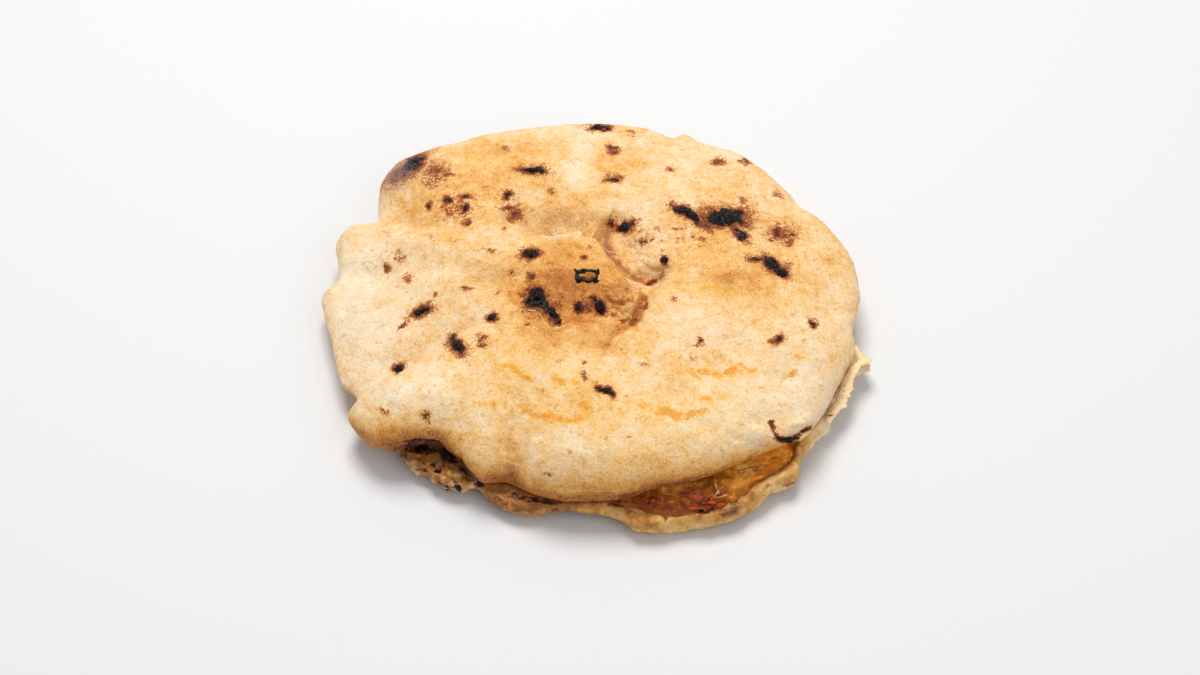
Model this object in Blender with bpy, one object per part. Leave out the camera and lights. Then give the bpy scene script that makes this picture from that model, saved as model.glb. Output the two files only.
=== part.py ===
"""A filled lepinja: two leaves of flatbread with a cooked filling between them.

Blender 4.5. The solids are in metres, +Z up, with the origin in the middle of the flat underside.
The front of the bread, where the filling shows, faces -Y. Sizes in this file are in millimetres.
"""

import bmesh
import bpy
import numpy as np

MM = 0.001

# Levels of the layers, from the surface that the bread lies on
LEAF_TOP = 9.0
FILLING_FLOOR = 9.35
FILLING_EDGE = 0.8
FILLING_THICKNESS = 6.0
PLATEAU_HEIGHT = 35.5

# Room between the upper leaf and what it covers
RESTING_GAP = 0.35
SEAM_GAP = 0.6
# How far the upper leaf hangs where it reaches out past the lower one
DROOP = 3.0

# The number of stations round each piece, and of rings on each stretch of its section: over the top,
# down the side to the widest place, in under it, and back to the middle of the underside
STATIONS = 96
UPPER_RINGS = (34, 10, 3, 10)
LOWER_RINGS = (10, 4, 3, 6)
FILLING_RINGS = (8, 5)

# Where a section turns, as shares of the piece's outline, and how high the lower leaf's widest place is
UPPER_SHOULDER, UPPER_TUCK = 0.80, 0.965
LIP_FOOT, LIP_CREST, LOWER_TUCK, LOWER_WIDEST = 0.945, 0.975, 0.955, 0.45

# Outlines seen from above: (degrees from +X towards +Y, distance from the middle)
UPPER_OUTLINE = [
    (0, 113), (4, 114.5), (12, 115), (20, 112.5), (24, 111.5), (31, 106), (39, 107),
    (50, 109.5), (57, 107.5), (63, 105.5), (67, 108), (70, 103.5), (76, 105.5), (90, 105),
    (106, 106.5), (118, 110), (125, 113), (131, 117), (137, 121), (142, 119), (148, 111.5),
    (152, 107), (156, 117), (160, 118.5), (166, 114), (171, 111), (175, 116.5), (180, 114),
    (190, 111), (199, 110), (205, 106.5), (210.5, 114.5), (216, 114), (221, 109.5), (226, 99),
    (230, 94.5), (236, 95), (242, 98), (249, 93.7), (256, 96), (266, 97), (280, 97),
    (290, 98.5), (301, 100.5), (309, 102.5), (316, 106.5), (325, 110), (333, 109.5), (348, 111.5),
    (353, 110),
]
LOWER_OUTLINE = [
    (0, 107), (10, 106), (25, 103), (45, 100), (65, 98), (90, 97), (115, 101), (135, 108),
    (152, 102), (172, 104), (190, 104), (205, 101), (217, 104), (229, 104.5), (235, 104),
    (239, 101), (242, 98), (246, 100.5), (252, 101.5), (259, 99), (267, 97), (272, 98),
    (277, 102), (281, 107), (289, 110.5), (298, 114.5), (306, 114), (311, 114), (314, 116),
    (318, 113), (323, 110), (330, 111.5), (337, 112), (343, 112.5), (347.5, 118.5), (350.5, 116),
    (354, 109),
]
FILLING_OUTLINE = [
    (0, 92), (45, 88), (90, 85), (135, 92), (180, 92), (205, 88), (225, 83), (243, 84),
    (256, 87), (264, 90), (272, 91), (280, 93), (286, 100), (293, 105), (300, 108), (308, 107.5),
    (315, 108), (319, 105), (323, 98), (330, 94), (345, 92),
]

# Heights round the bread: (degrees, height)
SHOULDER_HEIGHT = [
    (0, 30), (20, 29.5), (45, 29), (70, 28), (90, 29), (120, 29), (140, 27.5), (152, 23),
    (161, 27), (171, 24), (180, 24.5), (195, 22), (204, 20.5), (210, 31), (218, 33), (232, 33.5),
    (248, 32.8), (257, 34.8), (270, 36), (300, 36), (318, 33.5), (335, 31.5),
]
WIDEST_SHARE = [
    (0, 0.38), (40, 0.55), (90, 0.62), (132, 0.60), (150, 0.42), (180, 0.28), (204, 0.25),
    (214, 0.36), (235, 0.24), (320, 0.26), (345, 0.32),
]
SHOULDER_ROUNDING = [(0, 7), (90, 6.5), (180, 5), (203, 5), (214, 6), (270, 7.5), (320, 7)]
LIP_HEIGHT = [
    (0, 9), (60, 9), (205, 9), (224, 9.5), (232, 10.2), (240, 9.5), (260, 9.3), (272, 9.6),
    (284, 10.6), (300, 10.8), (310, 11.2), (318, 11.2), (330, 10.4), (348, 10.6), (354, 9.4),
]
HEM_LIFT = [
    (0, 2), (60, 1.5), (130, 2), (180, 2), (222, 3.2), (243, 3.8), (255, 2.4), (268, 5.2),
    (275, 4.4), (283, 1.2), (298, 1), (318, 2.6), (335, 4.5), (347.5, 7), (354, 4.5),
]
# How far the upper leaf's rim is lifted off what it covers: over the scorched flap, and past the mouth
RIM_LIFT = [
    (0, 1), (20, 0), (214, 0), (221, 1.5), (226, 5), (233, 5.2), (239, 2.6), (244, 0), (308, 0),
    (322, 3), (335, 2.6),
]
# The share of the filling's outline where its top begins to fall towards the edge
FILLING_BROW = [(0, 0.8), (262, 0.8), (284, 0.86), (300, 0.88), (312, 0.87), (326, 0.8)]

# Shallow hollows and swellings of the top: x, y, half length, half width, turn in degrees, height
SWELLINGS = [
    (-17, 46, 27, 14, -6, -3.5),
    (22, 14, 11, 13, 0, -3.0),
    (-43, 8, 13, 8, 0, -1.4),
    (-9, -27, 12, 7, 0, 1.4),
    (-12, 10, 20, 12, 0, 1.2),
    (-9, 79, 8, 20, -15, 2.0),
    (-25, 83, 10, 10, 0, -2.2),
    (55, 60, 26, 20, -40, 1.2),
    (60, -20, 34, 22, 0, 1.2),
    (-72, 28, 20, 18, 0, 1.4),
    (-50, -58, 26, 14, 20, 1.2),
]
# Folds in the top: depth, half width to the left and to the right of the path, and the path's points
FOLDS = [
    (4.8, 13, 4.2, [(-38, 41), (-30, 34), (-22, 30), (-14, 29), (-4, 30.5), (3, 27.5), (6, 24)]),
    (4.4, 9, 4.2, [(8, 36), (6, 25), (8, 19.5), (12, 13), (15, 7), (22, 4.5), (26, 4)]),
    (4.2, 4.2, 9, [(26, 4), (22, -2), (20, -13), (18, -19), (12, -23), (7, -28), (1, -34)]),
    (3.2, 8, 4.0, [(-32, -7), (-26, -12), (-19, -14), (-15, -21), (-7, -18), (3, -16), (11, -16)]),
    (2.4, 9, 4.2, [(-51, 2.5), (-43, 0), (-34, -3), (-30, -6)]),
    (3.0, 6, 6, [(-30, -72), (-31, -82), (-31, -94)]),
    (2.4, 5, 5, [(-94, 50), (-82, 44), (-70, 38)]),
    (2.4, 5, 5, [(-109, 17), (-98, 15), (-88, 10)]),
    (1.6, 4.5, 4.5, [(44, -74), (58, -78)]),
    (1.8, 4.5, 4.5, [(66, -68), (77, -70), (88, -64)]),
]
# Long low waves of the top: the height, the length, its direction in degrees, and the phase
RIPPLES = [(0.45, 52, 25, 0.4), (0.40, 41, 100, 2.1), (0.35, 33, 160, 4.4), (0.30, 27, 65, 1.3)]

# Colours as linear RGB, then roughness
CRUST = (0.93, 0.70, 0.40, 1.0), 0.62
CRUMB = (0.72, 0.44, 0.20, 1.0), 0.70
SAVOURY = (0.42, 0.13, 0.022, 1.0), 0.35


def around(points, angle):
    """The height or distance at an angle in degrees: a smooth closed curve through the points.

    Between two points it is a cubic whose slope at each is the harmonic mean of its two neighbours'
    slopes, and level at a peak or a dip, so that it never overshoots.
    """
    knots, values = np.array(points, float).T
    knots = np.concatenate([knots - 360, knots, knots + 360])
    values = np.tile(values, 3)
    rise = np.diff(values) / np.diff(knots)
    before, after = rise[:-1], rise[1:]
    same_way = before * after > 0
    slope = np.zeros_like(knots)
    slope[1:-1] = np.where(same_way, 2 * before * after / np.where(same_way, before + after, 1), 0)
    i = np.searchsorted(knots, angle, side="right") - 1
    width = knots[i + 1] - knots[i]
    s = (angle - knots[i]) / width
    start = (1 + 2 * s) * (1 - s) ** 2 * values[i] + s * (1 - s) ** 2 * width * slope[i]
    end = s**2 * (3 - 2 * s) * values[i + 1] - s**2 * (1 - s) * width * slope[i + 1]
    return start + end


def ease(low, high, x):
    """0 below low, 1 above high, and a smooth step between them."""
    s = np.clip((x - low) / (high - low), 0, 1)
    return s * s * (3 - 2 * s)


def distance_to(path, x, y):
    """How far each point lies from a path of straight pieces: above 0 on the path's left."""
    nearest = np.full(np.shape(x), np.inf)
    for (x0, y0), (x1, y1) in zip(path, path[1:]):
        dx, dy = x1 - x0, y1 - y0
        share = np.clip(((x - x0) * dx + (y - y0) * dy) / (dx * dx + dy * dy), 0, 1)
        away = np.hypot(x - x0 - share * dx, y - y0 - share * dy)
        side = np.where((y - y0) * dx > (x - x0) * dy, 1, -1)
        nearest = np.where(away < abs(nearest), side * away, nearest)
    return nearest


def top_relief(x, y):
    """The hollows, swellings, folds and ripples of the upper crust."""
    relief = np.zeros(np.shape(x))
    for middle_x, middle_y, half_length, half_width, turn, height in SWELLINGS:
        c, s = np.cos(np.radians(turn)), np.sin(np.radians(turn))
        along = ((x - middle_x) * c + (y - middle_y) * s) / half_length
        across = ((y - middle_y) * c - (x - middle_x) * s) / half_width
        relief += height * np.exp(-(along**2) - across**2)
    for depth, left_width, right_width, path in FOLDS:
        away = distance_to(path, x, y)
        relief -= depth * np.exp(-((away / np.where(away > 0, left_width, right_width)) ** 2))
    for height, length, direction, phase in RIPPLES:
        along = x * np.cos(np.radians(direction)) + y * np.sin(np.radians(direction))
        relief += height * np.sin(2 * np.pi * along / length + phase)
    return relief


def lower_top(radius, angle):
    """The top of the lower leaf: flat, with a lip that rises at the mouth."""
    reach = radius / around(LOWER_OUTLINE, angle)
    return LEAF_TOP + (around(LIP_HEIGHT, angle) - LEAF_TOP) * ease(LIP_FOOT, LIP_CREST, reach)


def filling_top(radius, angle):
    """The top of the filling: level inside, and thin at its edge."""
    share = radius / around(FILLING_OUTLINE, angle)
    left = 1 - ease(around(FILLING_BROW, angle), 1.0, share)
    return FILLING_FLOOR + FILLING_EDGE + FILLING_THICKNESS * left


def upper_under(radius, angle):
    """The underside of the upper leaf: level over the filling, then down towards the lower leaf."""
    left = 1 - ease(0.92, 1.12, radius / around(FILLING_OUTLINE, angle))
    clear = FILLING_FLOOR + FILLING_EDGE + FILLING_THICKNESS + RESTING_GAP
    over_filling = LEAF_TOP - DROOP + (clear - LEAF_TOP + DROOP) * left
    past_leaf = ease(1.01, 1.10, radius / around(LOWER_OUTLINE, angle))
    over_leaf = lower_top(radius, angle) + SEAM_GAP - DROOP * past_leaf
    lift = around(RIM_LIFT, angle) * ease(0.74, 0.90, radius / around(UPPER_OUTLINE, angle))
    return np.maximum(over_filling, over_leaf) + lift


def upper_over(reach, angle):
    """The top of the upper leaf at a share of its outline, without the relief."""
    shoulder = around(SHOULDER_HEIGHT, angle)
    crown = PLATEAU_HEIGHT + (shoulder - PLATEAU_HEIGHT) * ease(0.35, 0.92, reach)
    hem = upper_under(UPPER_TUCK * around(UPPER_OUTLINE, angle), angle)
    widest = hem + around(WIDEST_SHARE, angle) * (shoulder - hem)
    rounding = around(SHOULDER_ROUNDING, angle)
    return widest + (crown - widest) * np.sqrt(np.clip(1 - reach**rounding, 0, 1))


def stretches(t, rings):
    """How far t has come along each stretch of a section, from 0 before it to 1 after it."""
    ends = np.cumsum((0,) + rings) / sum(rings)
    return [np.clip((t - a) / (b - a), 0, 1) for a, b in zip(ends, ends[1:])]


def upper_section(t, angle):
    """A point of the upper leaf: t is 0 in the middle of its top and 1 in the middle of its underside."""
    outline = around(UPPER_OUTLINE, angle)
    dome, rim, tuck, below = stretches(t, UPPER_RINGS)
    out = UPPER_SHOULDER * dome * (0.65 + 0.35 * dome)
    out = out + (1 - UPPER_SHOULDER) * np.sin(rim * np.pi / 2)
    tucked = 1 - (1 - UPPER_TUCK) * (1 - np.cos(tuck * np.pi / 2))
    reach = np.select([tuck == 0, below == 0], [out, tucked], UPPER_TUCK * (1 - below) ** 0.6)
    radius = reach * outline
    x, y = radius * np.cos(np.radians(angle)), radius * np.sin(np.radians(angle))
    over = upper_over(reach, angle) + top_relief(x, y) * (1 - ease(0.88, 1.0, reach))
    hem = upper_under(UPPER_TUCK * outline, angle)
    side = hem + (upper_over(1.0, angle) - hem) * (1 - np.sin(tuck * np.pi / 2))
    height = np.select([tuck == 0, below == 0], [over, side], upper_under(radius, angle))
    return x, y, height


def lower_section(t, angle):
    """A point of the lower leaf: t is 0 in the middle of its top and 1 in the middle of its underside."""
    flat, rim, tuck, below = stretches(t, LOWER_RINGS)
    inside = LIP_CREST * (1 - (1 - flat) ** 2)
    out = inside + (1 - LIP_CREST) * np.sin(rim * np.pi / 2)
    tucked = 1 - (1 - LOWER_TUCK) * (1 - np.cos(tuck * np.pi / 2))
    reach = np.select([tuck == 0, below == 0], [out, tucked], LOWER_TUCK * (1 - below))
    radius = reach * around(LOWER_OUTLINE, angle)
    top = lower_top(inside * around(LOWER_OUTLINE, angle), angle)
    bottom = around(HEM_LIFT, angle) * ease(0.70, 1.0, np.minimum(reach, LOWER_TUCK))
    widest = bottom + LOWER_WIDEST * (top - bottom)
    over = widest + (top - widest) * np.cos(rim * np.pi / 2)
    under = widest + (bottom - widest) * np.sin(tuck * np.pi / 2)
    height = np.select([tuck == 0, below == 0], [over, under], bottom)
    return radius * np.cos(np.radians(angle)), radius * np.sin(np.radians(angle)), height


def filling_section(t, angle):
    """A point of the filling: its top as far as its edge, half way, and then its flat floor."""
    over, below = stretches(t, FILLING_RINGS)
    radius = np.sqrt(over) * (1 - below) * around(FILLING_OUTLINE, angle)
    height = np.where(below == 0, filling_top(radius, angle), FILLING_FLOOR)
    return radius * np.cos(np.radians(angle)), radius * np.sin(np.radians(angle)), height


def new_layer(name, section, rings, finish):
    """A UV sphere whose latitude and longitude become the section's t and angle."""
    bm = bmesh.new()
    bmesh.ops.create_uvsphere(bm, u_segments=STATIONS, v_segments=sum(rings), radius=1.0)
    place = np.array([v.co for v in bm.verts])
    t = np.round(np.arccos(np.clip(place[:, 2], -1, 1)) / np.pi * sum(rings)) / sum(rings)
    angle = np.degrees(np.arctan2(place[:, 1], place[:, 0])) % 360
    for vertex, point in zip(bm.verts, np.transpose(section(t, angle))):
        vertex.co = point * MM
    bmesh.ops.recalc_face_normals(bm, faces=bm.faces)
    mesh = bpy.data.meshes.new(name)
    bm.to_mesh(mesh)
    bm.free()
    mesh.shade_smooth()
    layer = bpy.data.objects.new(name, mesh)
    layer.data.materials.append(new_material(name, *finish))
    return layer


def new_material(name, colour, roughness):
    material = bpy.data.materials.new(name)
    material.use_nodes = True
    shader = material.node_tree.nodes["Principled BSDF"]
    shader.inputs["Base Color"].default_value = colour
    shader.inputs["Roughness"].default_value = roughness
    shader.inputs["Metallic"].default_value = 0.0
    return material


def centre_over_origin(layers):
    """Moves the layers together, so that the middle of their common box is over the origin."""
    points = np.vstack([[v.co for v in layer.data.vertices] for layer in layers])
    low, high = points.min(0), points.max(0)
    for layer in layers:
        for vertex in layer.data.vertices:
            vertex.co.x -= (low[0] + high[0]) / 2
            vertex.co.y -= (low[1] + high[1]) / 2
            vertex.co.z -= low[2]


def build():
    for obj in list(bpy.data.objects):
        bpy.data.objects.remove(obj)
    layers = [
        new_layer("lower_leaf", lower_section, LOWER_RINGS, CRUMB),
        new_layer("filling", filling_section, FILLING_RINGS, SAVOURY),
        new_layer("upper_leaf", upper_section, UPPER_RINGS, CRUST),
    ]
    centre_over_origin(layers)
    collection = bpy.data.collections.new("lepinja")
    bpy.context.scene.collection.children.link(collection)
    for layer in layers:
        collection.objects.link(layer)


build()
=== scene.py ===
# %% [markdown]
# # A filled lepinja
#
# This lesson dresses a plain model of a filled lepinja, a round flatbread from a hot hearth. The plain
# model has three closed solids: a lower leaf, a layer of filling, and an upper leaf that lies on both.
# The lesson works out each of them again as a much finer surface with numpy, adds the scorch marks,
# creases, char and loose bits that the plain solids leave out, and gives each its finish.

import itertools

import bpy
import numpy as np
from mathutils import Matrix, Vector


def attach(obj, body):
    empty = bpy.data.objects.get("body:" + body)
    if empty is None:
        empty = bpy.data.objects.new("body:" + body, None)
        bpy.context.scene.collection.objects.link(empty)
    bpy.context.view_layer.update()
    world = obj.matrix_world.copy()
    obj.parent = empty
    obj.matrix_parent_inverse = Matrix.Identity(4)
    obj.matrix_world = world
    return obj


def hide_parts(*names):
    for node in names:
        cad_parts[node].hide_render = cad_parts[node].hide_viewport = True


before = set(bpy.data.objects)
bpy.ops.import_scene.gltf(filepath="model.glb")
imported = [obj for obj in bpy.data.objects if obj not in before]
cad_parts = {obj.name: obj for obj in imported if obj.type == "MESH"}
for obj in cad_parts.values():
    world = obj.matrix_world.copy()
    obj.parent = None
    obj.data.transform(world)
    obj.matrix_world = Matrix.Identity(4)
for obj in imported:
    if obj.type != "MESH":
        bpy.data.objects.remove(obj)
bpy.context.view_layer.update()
print("nodes:", sorted(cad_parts))

# %% [markdown]
# ## The camera
#
# The bread is seen from 51 degrees above the table through a lens of 60 mm, which flattens it a little.
# The same numbers do a second job. Scorch marks have no rule that places them, so they are listed where
# they are seen in the frame, in pixels from its top left corner, and the camera's geometry carries each
# one down onto the crust. So the camera is described first, as plain vectors, and the camera object is
# made from them.

# %% Describe the view
MM = 0.001
FRAME_WIDTH, FRAME_HEIGHT = 1200, 675
LENS, SENSOR = 60.0, 36.0
ELEVATION = np.radians(50.9)
DISTANCE = 841.0
AIM = np.array([3.4, -14.4, 15.0])

view_right = np.array([1.0, 0.0, 0.0])
view_depth = np.array([0.0, np.cos(ELEVATION), -np.sin(ELEVATION)])
view_up = np.array([0.0, np.sin(ELEVATION), np.cos(ELEVATION)])
eye = AIM - DISTANCE * view_depth
print("the eye is at", eye.round(1), "mm")


def seen_at(points):
    """Each point's pixel across and down.

    A point's offset from the eye is split along the view's right, up and depth. Right and up are divided
    by depth, and multiplied by the lens over the sensor times the frame's width in pixels.
    """
    offset = points - eye
    scale = LENS / SENSOR * FRAME_WIDTH / (offset @ view_depth)
    return FRAME_WIDTH / 2 + scale * (offset @ view_right), FRAME_HEIGHT / 2 - scale * (offset @ view_up)


# %% Make the camera
camera = bpy.data.objects.new("camera", bpy.data.cameras.new("camera"))
camera.data.lens = LENS
camera.data.sensor_width = SENSOR
camera.location = Vector(eye * MM)
camera.rotation_euler = Vector(view_depth).to_track_quat("-Z", "Y").to_euler()
bpy.context.scene.collection.objects.link(camera)
bpy.context.scene.camera = camera

# %% [markdown]
# ## Curves round the bread
#
# Seen from above, the bread is round but uneven, so every width and height is a closed curve of the
# angle: a few points, read off the bread, with a smooth line through them. The same curves shape the
# plain solids, so the fine surfaces lie where those lie. Angles are in degrees from the right hand side,
# towards the back, and lengths are in millimetres.

# %% Outlines seen from above
UPPER_OUTLINE = [
    (0, 113), (4, 114.5), (12, 115), (20, 112.5), (24, 111.5), (31, 106), (39, 107), (50, 109.5),
    (57, 107.5), (63, 105.5), (67, 108), (70, 103.5), (76, 105.5), (90, 105), (106, 106.5), (118, 110),
    (125, 113), (131, 117), (137, 121), (142, 119), (148, 111.5), (152, 107), (156, 117), (160, 118.5),
    (166, 114), (171, 111), (175, 116.5), (180, 114), (190, 111), (199, 110), (205, 106.5), (210.5, 114.5),
    (216, 114), (221, 109.5), (226, 99), (230, 94.5), (236, 95), (242, 98), (249, 93.7), (256, 96),
    (266, 97), (280, 97), (290, 98.5), (301, 100.5), (309, 102.5), (316, 106.5), (325, 110), (333, 109.5),
    (348, 111.5), (353, 110),
]
LOWER_OUTLINE = [
    (0, 107), (10, 106), (25, 103), (45, 100), (65, 98), (90, 97), (115, 101), (135, 108), (152, 102),
    (172, 104), (190, 104), (205, 101), (217, 104), (229, 104.5), (235, 104), (239, 101), (242, 98),
    (246, 100.5), (252, 101.5), (259, 99), (267, 97), (272, 98), (277, 102), (281, 107), (289, 110.5),
    (298, 114.5), (306, 114), (311, 114), (314, 116), (318, 113), (323, 110), (330, 111.5), (337, 112),
    (343, 112.5), (347.5, 118.5), (350.5, 116), (354, 109),
]
FILLING_OUTLINE = [
    (0, 92), (45, 88), (90, 85), (135, 92), (180, 92), (205, 88), (225, 83), (243, 84), (256, 87),
    (264, 90), (272, 91), (280, 93), (286, 100), (293, 105), (300, 108), (308, 107.5), (315, 108),
    (319, 105), (323, 98), (330, 94), (345, 92),
]

# %% Heights round the bread
SHOULDER_HEIGHT = [
    (0, 30), (20, 29.5), (45, 29), (70, 28), (90, 29), (120, 29), (140, 27.5), (152, 23), (161, 27),
    (171, 24), (180, 24.5), (195, 22), (204, 20.5), (210, 31), (218, 33), (232, 33.5), (248, 32.8),
    (257, 34.8), (270, 36), (300, 36), (318, 33.5), (335, 31.5),
]
WIDEST_SHARE = [
    (0, 0.38), (40, 0.55), (90, 0.62), (132, 0.60), (150, 0.42), (180, 0.28), (204, 0.25), (214, 0.36),
    (235, 0.24), (320, 0.26), (345, 0.32),
]
SHOULDER_ROUNDING = [(0, 7), (90, 6.5), (180, 5), (203, 5), (214, 6), (270, 7.5), (320, 7)]
LIP_HEIGHT = [
    (0, 9), (60, 9), (205, 9), (224, 9.5), (232, 10.2), (240, 9.5), (260, 9.3), (272, 9.6), (284, 10.6),
    (300, 10.8), (310, 11.2), (318, 11.2), (330, 10.4), (348, 10.6), (354, 9.4),
]
HEM_LIFT = [
    (0, 2), (60, 1.5), (130, 2), (180, 2), (222, 3.2), (243, 3.8), (255, 2.4), (268, 5.2), (275, 4.4),
    (283, 1.2), (298, 1), (318, 2.6), (335, 4.5), (347.5, 7), (354, 4.5),
]
RIM_LIFT = [
    (0, 1), (20, 0), (214, 0), (221, 1.5), (226, 5), (233, 5.2), (239, 2.6), (244, 0), (308, 0), (322, 3),
    (335, 2.6),
]
FILLING_BROW = [(0, 0.8), (262, 0.8), (284, 0.86), (300, 0.88), (312, 0.87), (326, 0.8)]

LEAF_TOP, FILLING_FLOOR, FILLING_EDGE, FILLING_THICKNESS = 9.0, 9.35, 0.8, 6.0
PLATEAU_HEIGHT, RESTING_GAP, SEAM_GAP, DROOP = 35.5, 0.35, 0.6, 3.0
UPPER_SHOULDER, UPPER_TUCK = 0.80, 0.965
LIP_FOOT, LIP_CREST, LOWER_TUCK, LOWER_WIDEST = 0.945, 0.975, 0.955, 0.45
# The plain model's box is centred over the origin, which moved its solids by this much
CENTRED_BY = np.array([0.15, 0.12, 0.0])


# %% Draw smooth lines through the points
def cubic(s, start, end, leaving, arriving):
    """The cubic at a share s of the way between two values, with the slopes it leaves and arrives at."""
    first = (1 + 2 * s) * (1 - s) ** 2 * start + s * (1 - s) ** 2 * leaving
    return first + s**2 * (3 - 2 * s) * end - s**2 * (1 - s) * arriving


def around(points, angle):
    """The value at an angle of a smooth closed curve through the points.

    Between two points it is a cubic whose slope at each is the harmonic mean of its two neighbours'
    slopes, and level at a peak or a dip, so that it never overshoots.
    """
    knots, values = np.array(points, float).T
    knots = np.concatenate([knots - 360, knots, knots + 360])
    values = np.tile(values, 3)
    rise = np.diff(values) / np.diff(knots)
    before, after = rise[:-1], rise[1:]
    same_way = before * after > 0
    slope = np.zeros_like(knots)
    slope[1:-1] = np.where(same_way, 2 * before * after / np.where(same_way, before + after, 1), 0)
    i = np.searchsorted(knots, angle, side="right") - 1
    width = knots[i + 1] - knots[i]
    share = (angle - knots[i]) / width
    return cubic(share, values[i], values[i + 1], width * slope[i], width * slope[i + 1])


def ease(low, high, x):
    """0 below low, 1 above high, and the S-curve 3s^2 - 2s^3 of the share s of the way between them."""
    s = np.clip((x - low) / (high - low), 0, 1)
    return s * s * (3 - 2 * s)


def distance_to(path, x, y):
    """How far each point lies from a path of straight pieces: above 0 on the path's left."""
    nearest = np.full(np.shape(x), np.inf)
    for (x0, y0), (x1, y1) in zip(path, path[1:]):
        dx, dy = x1 - x0, y1 - y0
        share = np.clip(((x - x0) * dx + (y - y0) * dy) / (dx * dx + dy * dy), 0, 1)
        away = np.hypot(x - x0 - share * dx, y - y0 - share * dy)
        side = np.where((y - y0) * dx > (x - x0) * dy, 1, -1)
        nearest = np.where(away < abs(nearest), side * away, nearest)
    return nearest


# After this many cubes along each axis, the lumps below repeat
CUBES = 48


def lumps(points, size, seed):
    """Smooth random heights from -1 to 1.

    Space is cut into cubes of the given size with a random number at each corner, and inside a cube the
    eight numbers are blended with the S-curve along each axis.
    """
    table = np.random.default_rng(seed).uniform(-1, 1, (CUBES, CUBES, CUBES))
    cell = np.floor(points / size).astype(int)
    share = points / size - cell
    share = share * share * (3 - 2 * share)
    total = np.zeros(points.shape[:-1])
    for corner in itertools.product((0, 1), repeat=3):
        weight = np.prod(np.where(corner, share, 1 - share), axis=-1)
        i, j, k = np.moveaxis((cell + corner) % CUBES, -1, 0)
        total += weight * table[i, j, k]
    return total


def layered(points, *layers):
    """The sum of several layers of lumps, each with its height, its size and its seed."""
    return sum(height * lumps(points, size, seed) for height, size, seed in layers)


print("the upper leaf reaches", round(float(around(UPPER_OUTLINE, 137.0)), 1), "mm at its far left corner")

# %% [markdown]
# ## Relief of the upper leaf
#
# As the bread cooled, its puffed top sank in the middle, and the crust folded where it sank. A fold is a
# path with a depth and a width to each side, so it can be steep towards the sunken middle and gentle
# away from it. Gaussian hollows and swellings give the broad shape, and long low waves break up the
# rest.

# %% Hollows, folds and waves
SWELLINGS = [
    (-17, 46, 27, 14, -6, -3.5), (22, 14, 11, 13, 0, -3.0), (-43, 8, 13, 8, 0, -1.4),
    (-9, -27, 12, 7, 0, 1.4), (-12, 10, 20, 12, 0, 1.2), (-9, 79, 8, 20, -15, 2.0),
    (-25, 83, 10, 10, 0, -2.2), (55, 60, 26, 20, -40, 1.2), (60, -20, 34, 22, 0, 1.2),
    (-72, 28, 20, 18, 0, 1.4), (-50, -58, 26, 14, 20, 1.2),
]
BACK_FOLD = [(-38, 41), (-30, 34), (-22, 30), (-14, 29), (-4, 30.5), (3, 27.5), (6, 24)]
RIGHT_FOLD = [(8, 36), (6, 25), (8, 19.5), (12, 13), (15, 7), (22, 4.5), (26, 4)]
FRONT_FOLD = [(26, 4), (22, -2), (20, -13), (18, -19), (12, -23), (7, -28), (1, -34)]
CRATER_FOLD = [(-32, -7), (-26, -12), (-19, -14), (-15, -21), (-7, -18), (3, -16), (11, -16)]
LEFT_FOLD = [(-51, 2.5), (-43, 0), (-34, -3), (-30, -6)]
FOLDS = [
    (4.8, 13, 3.6, BACK_FOLD),
    (4.4, 9, 3.6, RIGHT_FOLD),
    (4.2, 3.6, 9, FRONT_FOLD),
    (3.2, 8, 3.2, CRATER_FOLD),
    (2.4, 9, 3.6, LEFT_FOLD),
    (3.0, 6, 6, [(-30, -72), (-31, -82), (-31, -94)]),
    (2.4, 5, 5, [(-94, 50), (-82, 44), (-70, 38)]),
    (2.4, 5, 5, [(-109, 17), (-98, 15), (-88, 10)]),
    (1.6, 4.5, 4.5, [(44, -74), (58, -78)]),
    (1.8, 4.5, 4.5, [(66, -68), (77, -70), (88, -64)]),
]
RIPPLES = [(0.45, 52, 25, 0.4), (0.40, 41, 100, 2.1), (0.35, 33, 160, 4.4), (0.30, 27, 65, 1.3)]


def top_relief(x, y):
    """The sum of the swellings, minus the folds, plus the waves.

    A swelling is its height times exp(-(along/half length)^2 - (across/half width)^2), and a fold its
    depth times exp(-(distance/half width)^2), with another half width on each side.
    """
    relief = np.zeros(np.shape(x))
    for middle_x, middle_y, half_length, half_width, turn, height in SWELLINGS:
        c, s = np.cos(np.radians(turn)), np.sin(np.radians(turn))
        along = ((x - middle_x) * c + (y - middle_y) * s) / half_length
        across = ((y - middle_y) * c - (x - middle_x) * s) / half_width
        relief += height * np.exp(-(along**2) - across**2)
    for depth, left_width, right_width, path in FOLDS:
        away = distance_to(path, x, y)
        relief -= depth * np.exp(-((away / np.where(away > 0, left_width, right_width)) ** 2))
    for height, length, direction, phase in RIPPLES:
        along = x * np.cos(np.radians(direction)) + y * np.sin(np.radians(direction))
        relief += height * np.sin(2 * np.pi * along / length + phase)
    return relief


# %% [markdown]
# ## Three sections
#
# Each piece is a surface of two parameters: the angle round the bread, and t, which runs from 0 in the
# middle of its top, over the rim and in under it, to 1 in the middle of its underside. A list of ring
# counts says how much of t each stretch of the section gets, so the rings are close together where the
# shape turns. Such a section closes by itself at both poles.

# %% Heights that the sections share
def lower_top(radius, angle):
    """The top of the lower leaf: flat, and then an S-curve up to the lip."""
    reach = radius / around(LOWER_OUTLINE, angle)
    return LEAF_TOP + (around(LIP_HEIGHT, angle) - LEAF_TOP) * ease(LIP_FOOT, LIP_CREST, reach)


def filling_top(radius, angle):
    """The top of the filling: level inside, and an S-curve down to its thin edge."""
    share = radius / around(FILLING_OUTLINE, angle)
    left = 1 - ease(around(FILLING_BROW, angle), 1.0, share)
    return FILLING_FLOOR + FILLING_EDGE + FILLING_THICKNESS * left


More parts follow.
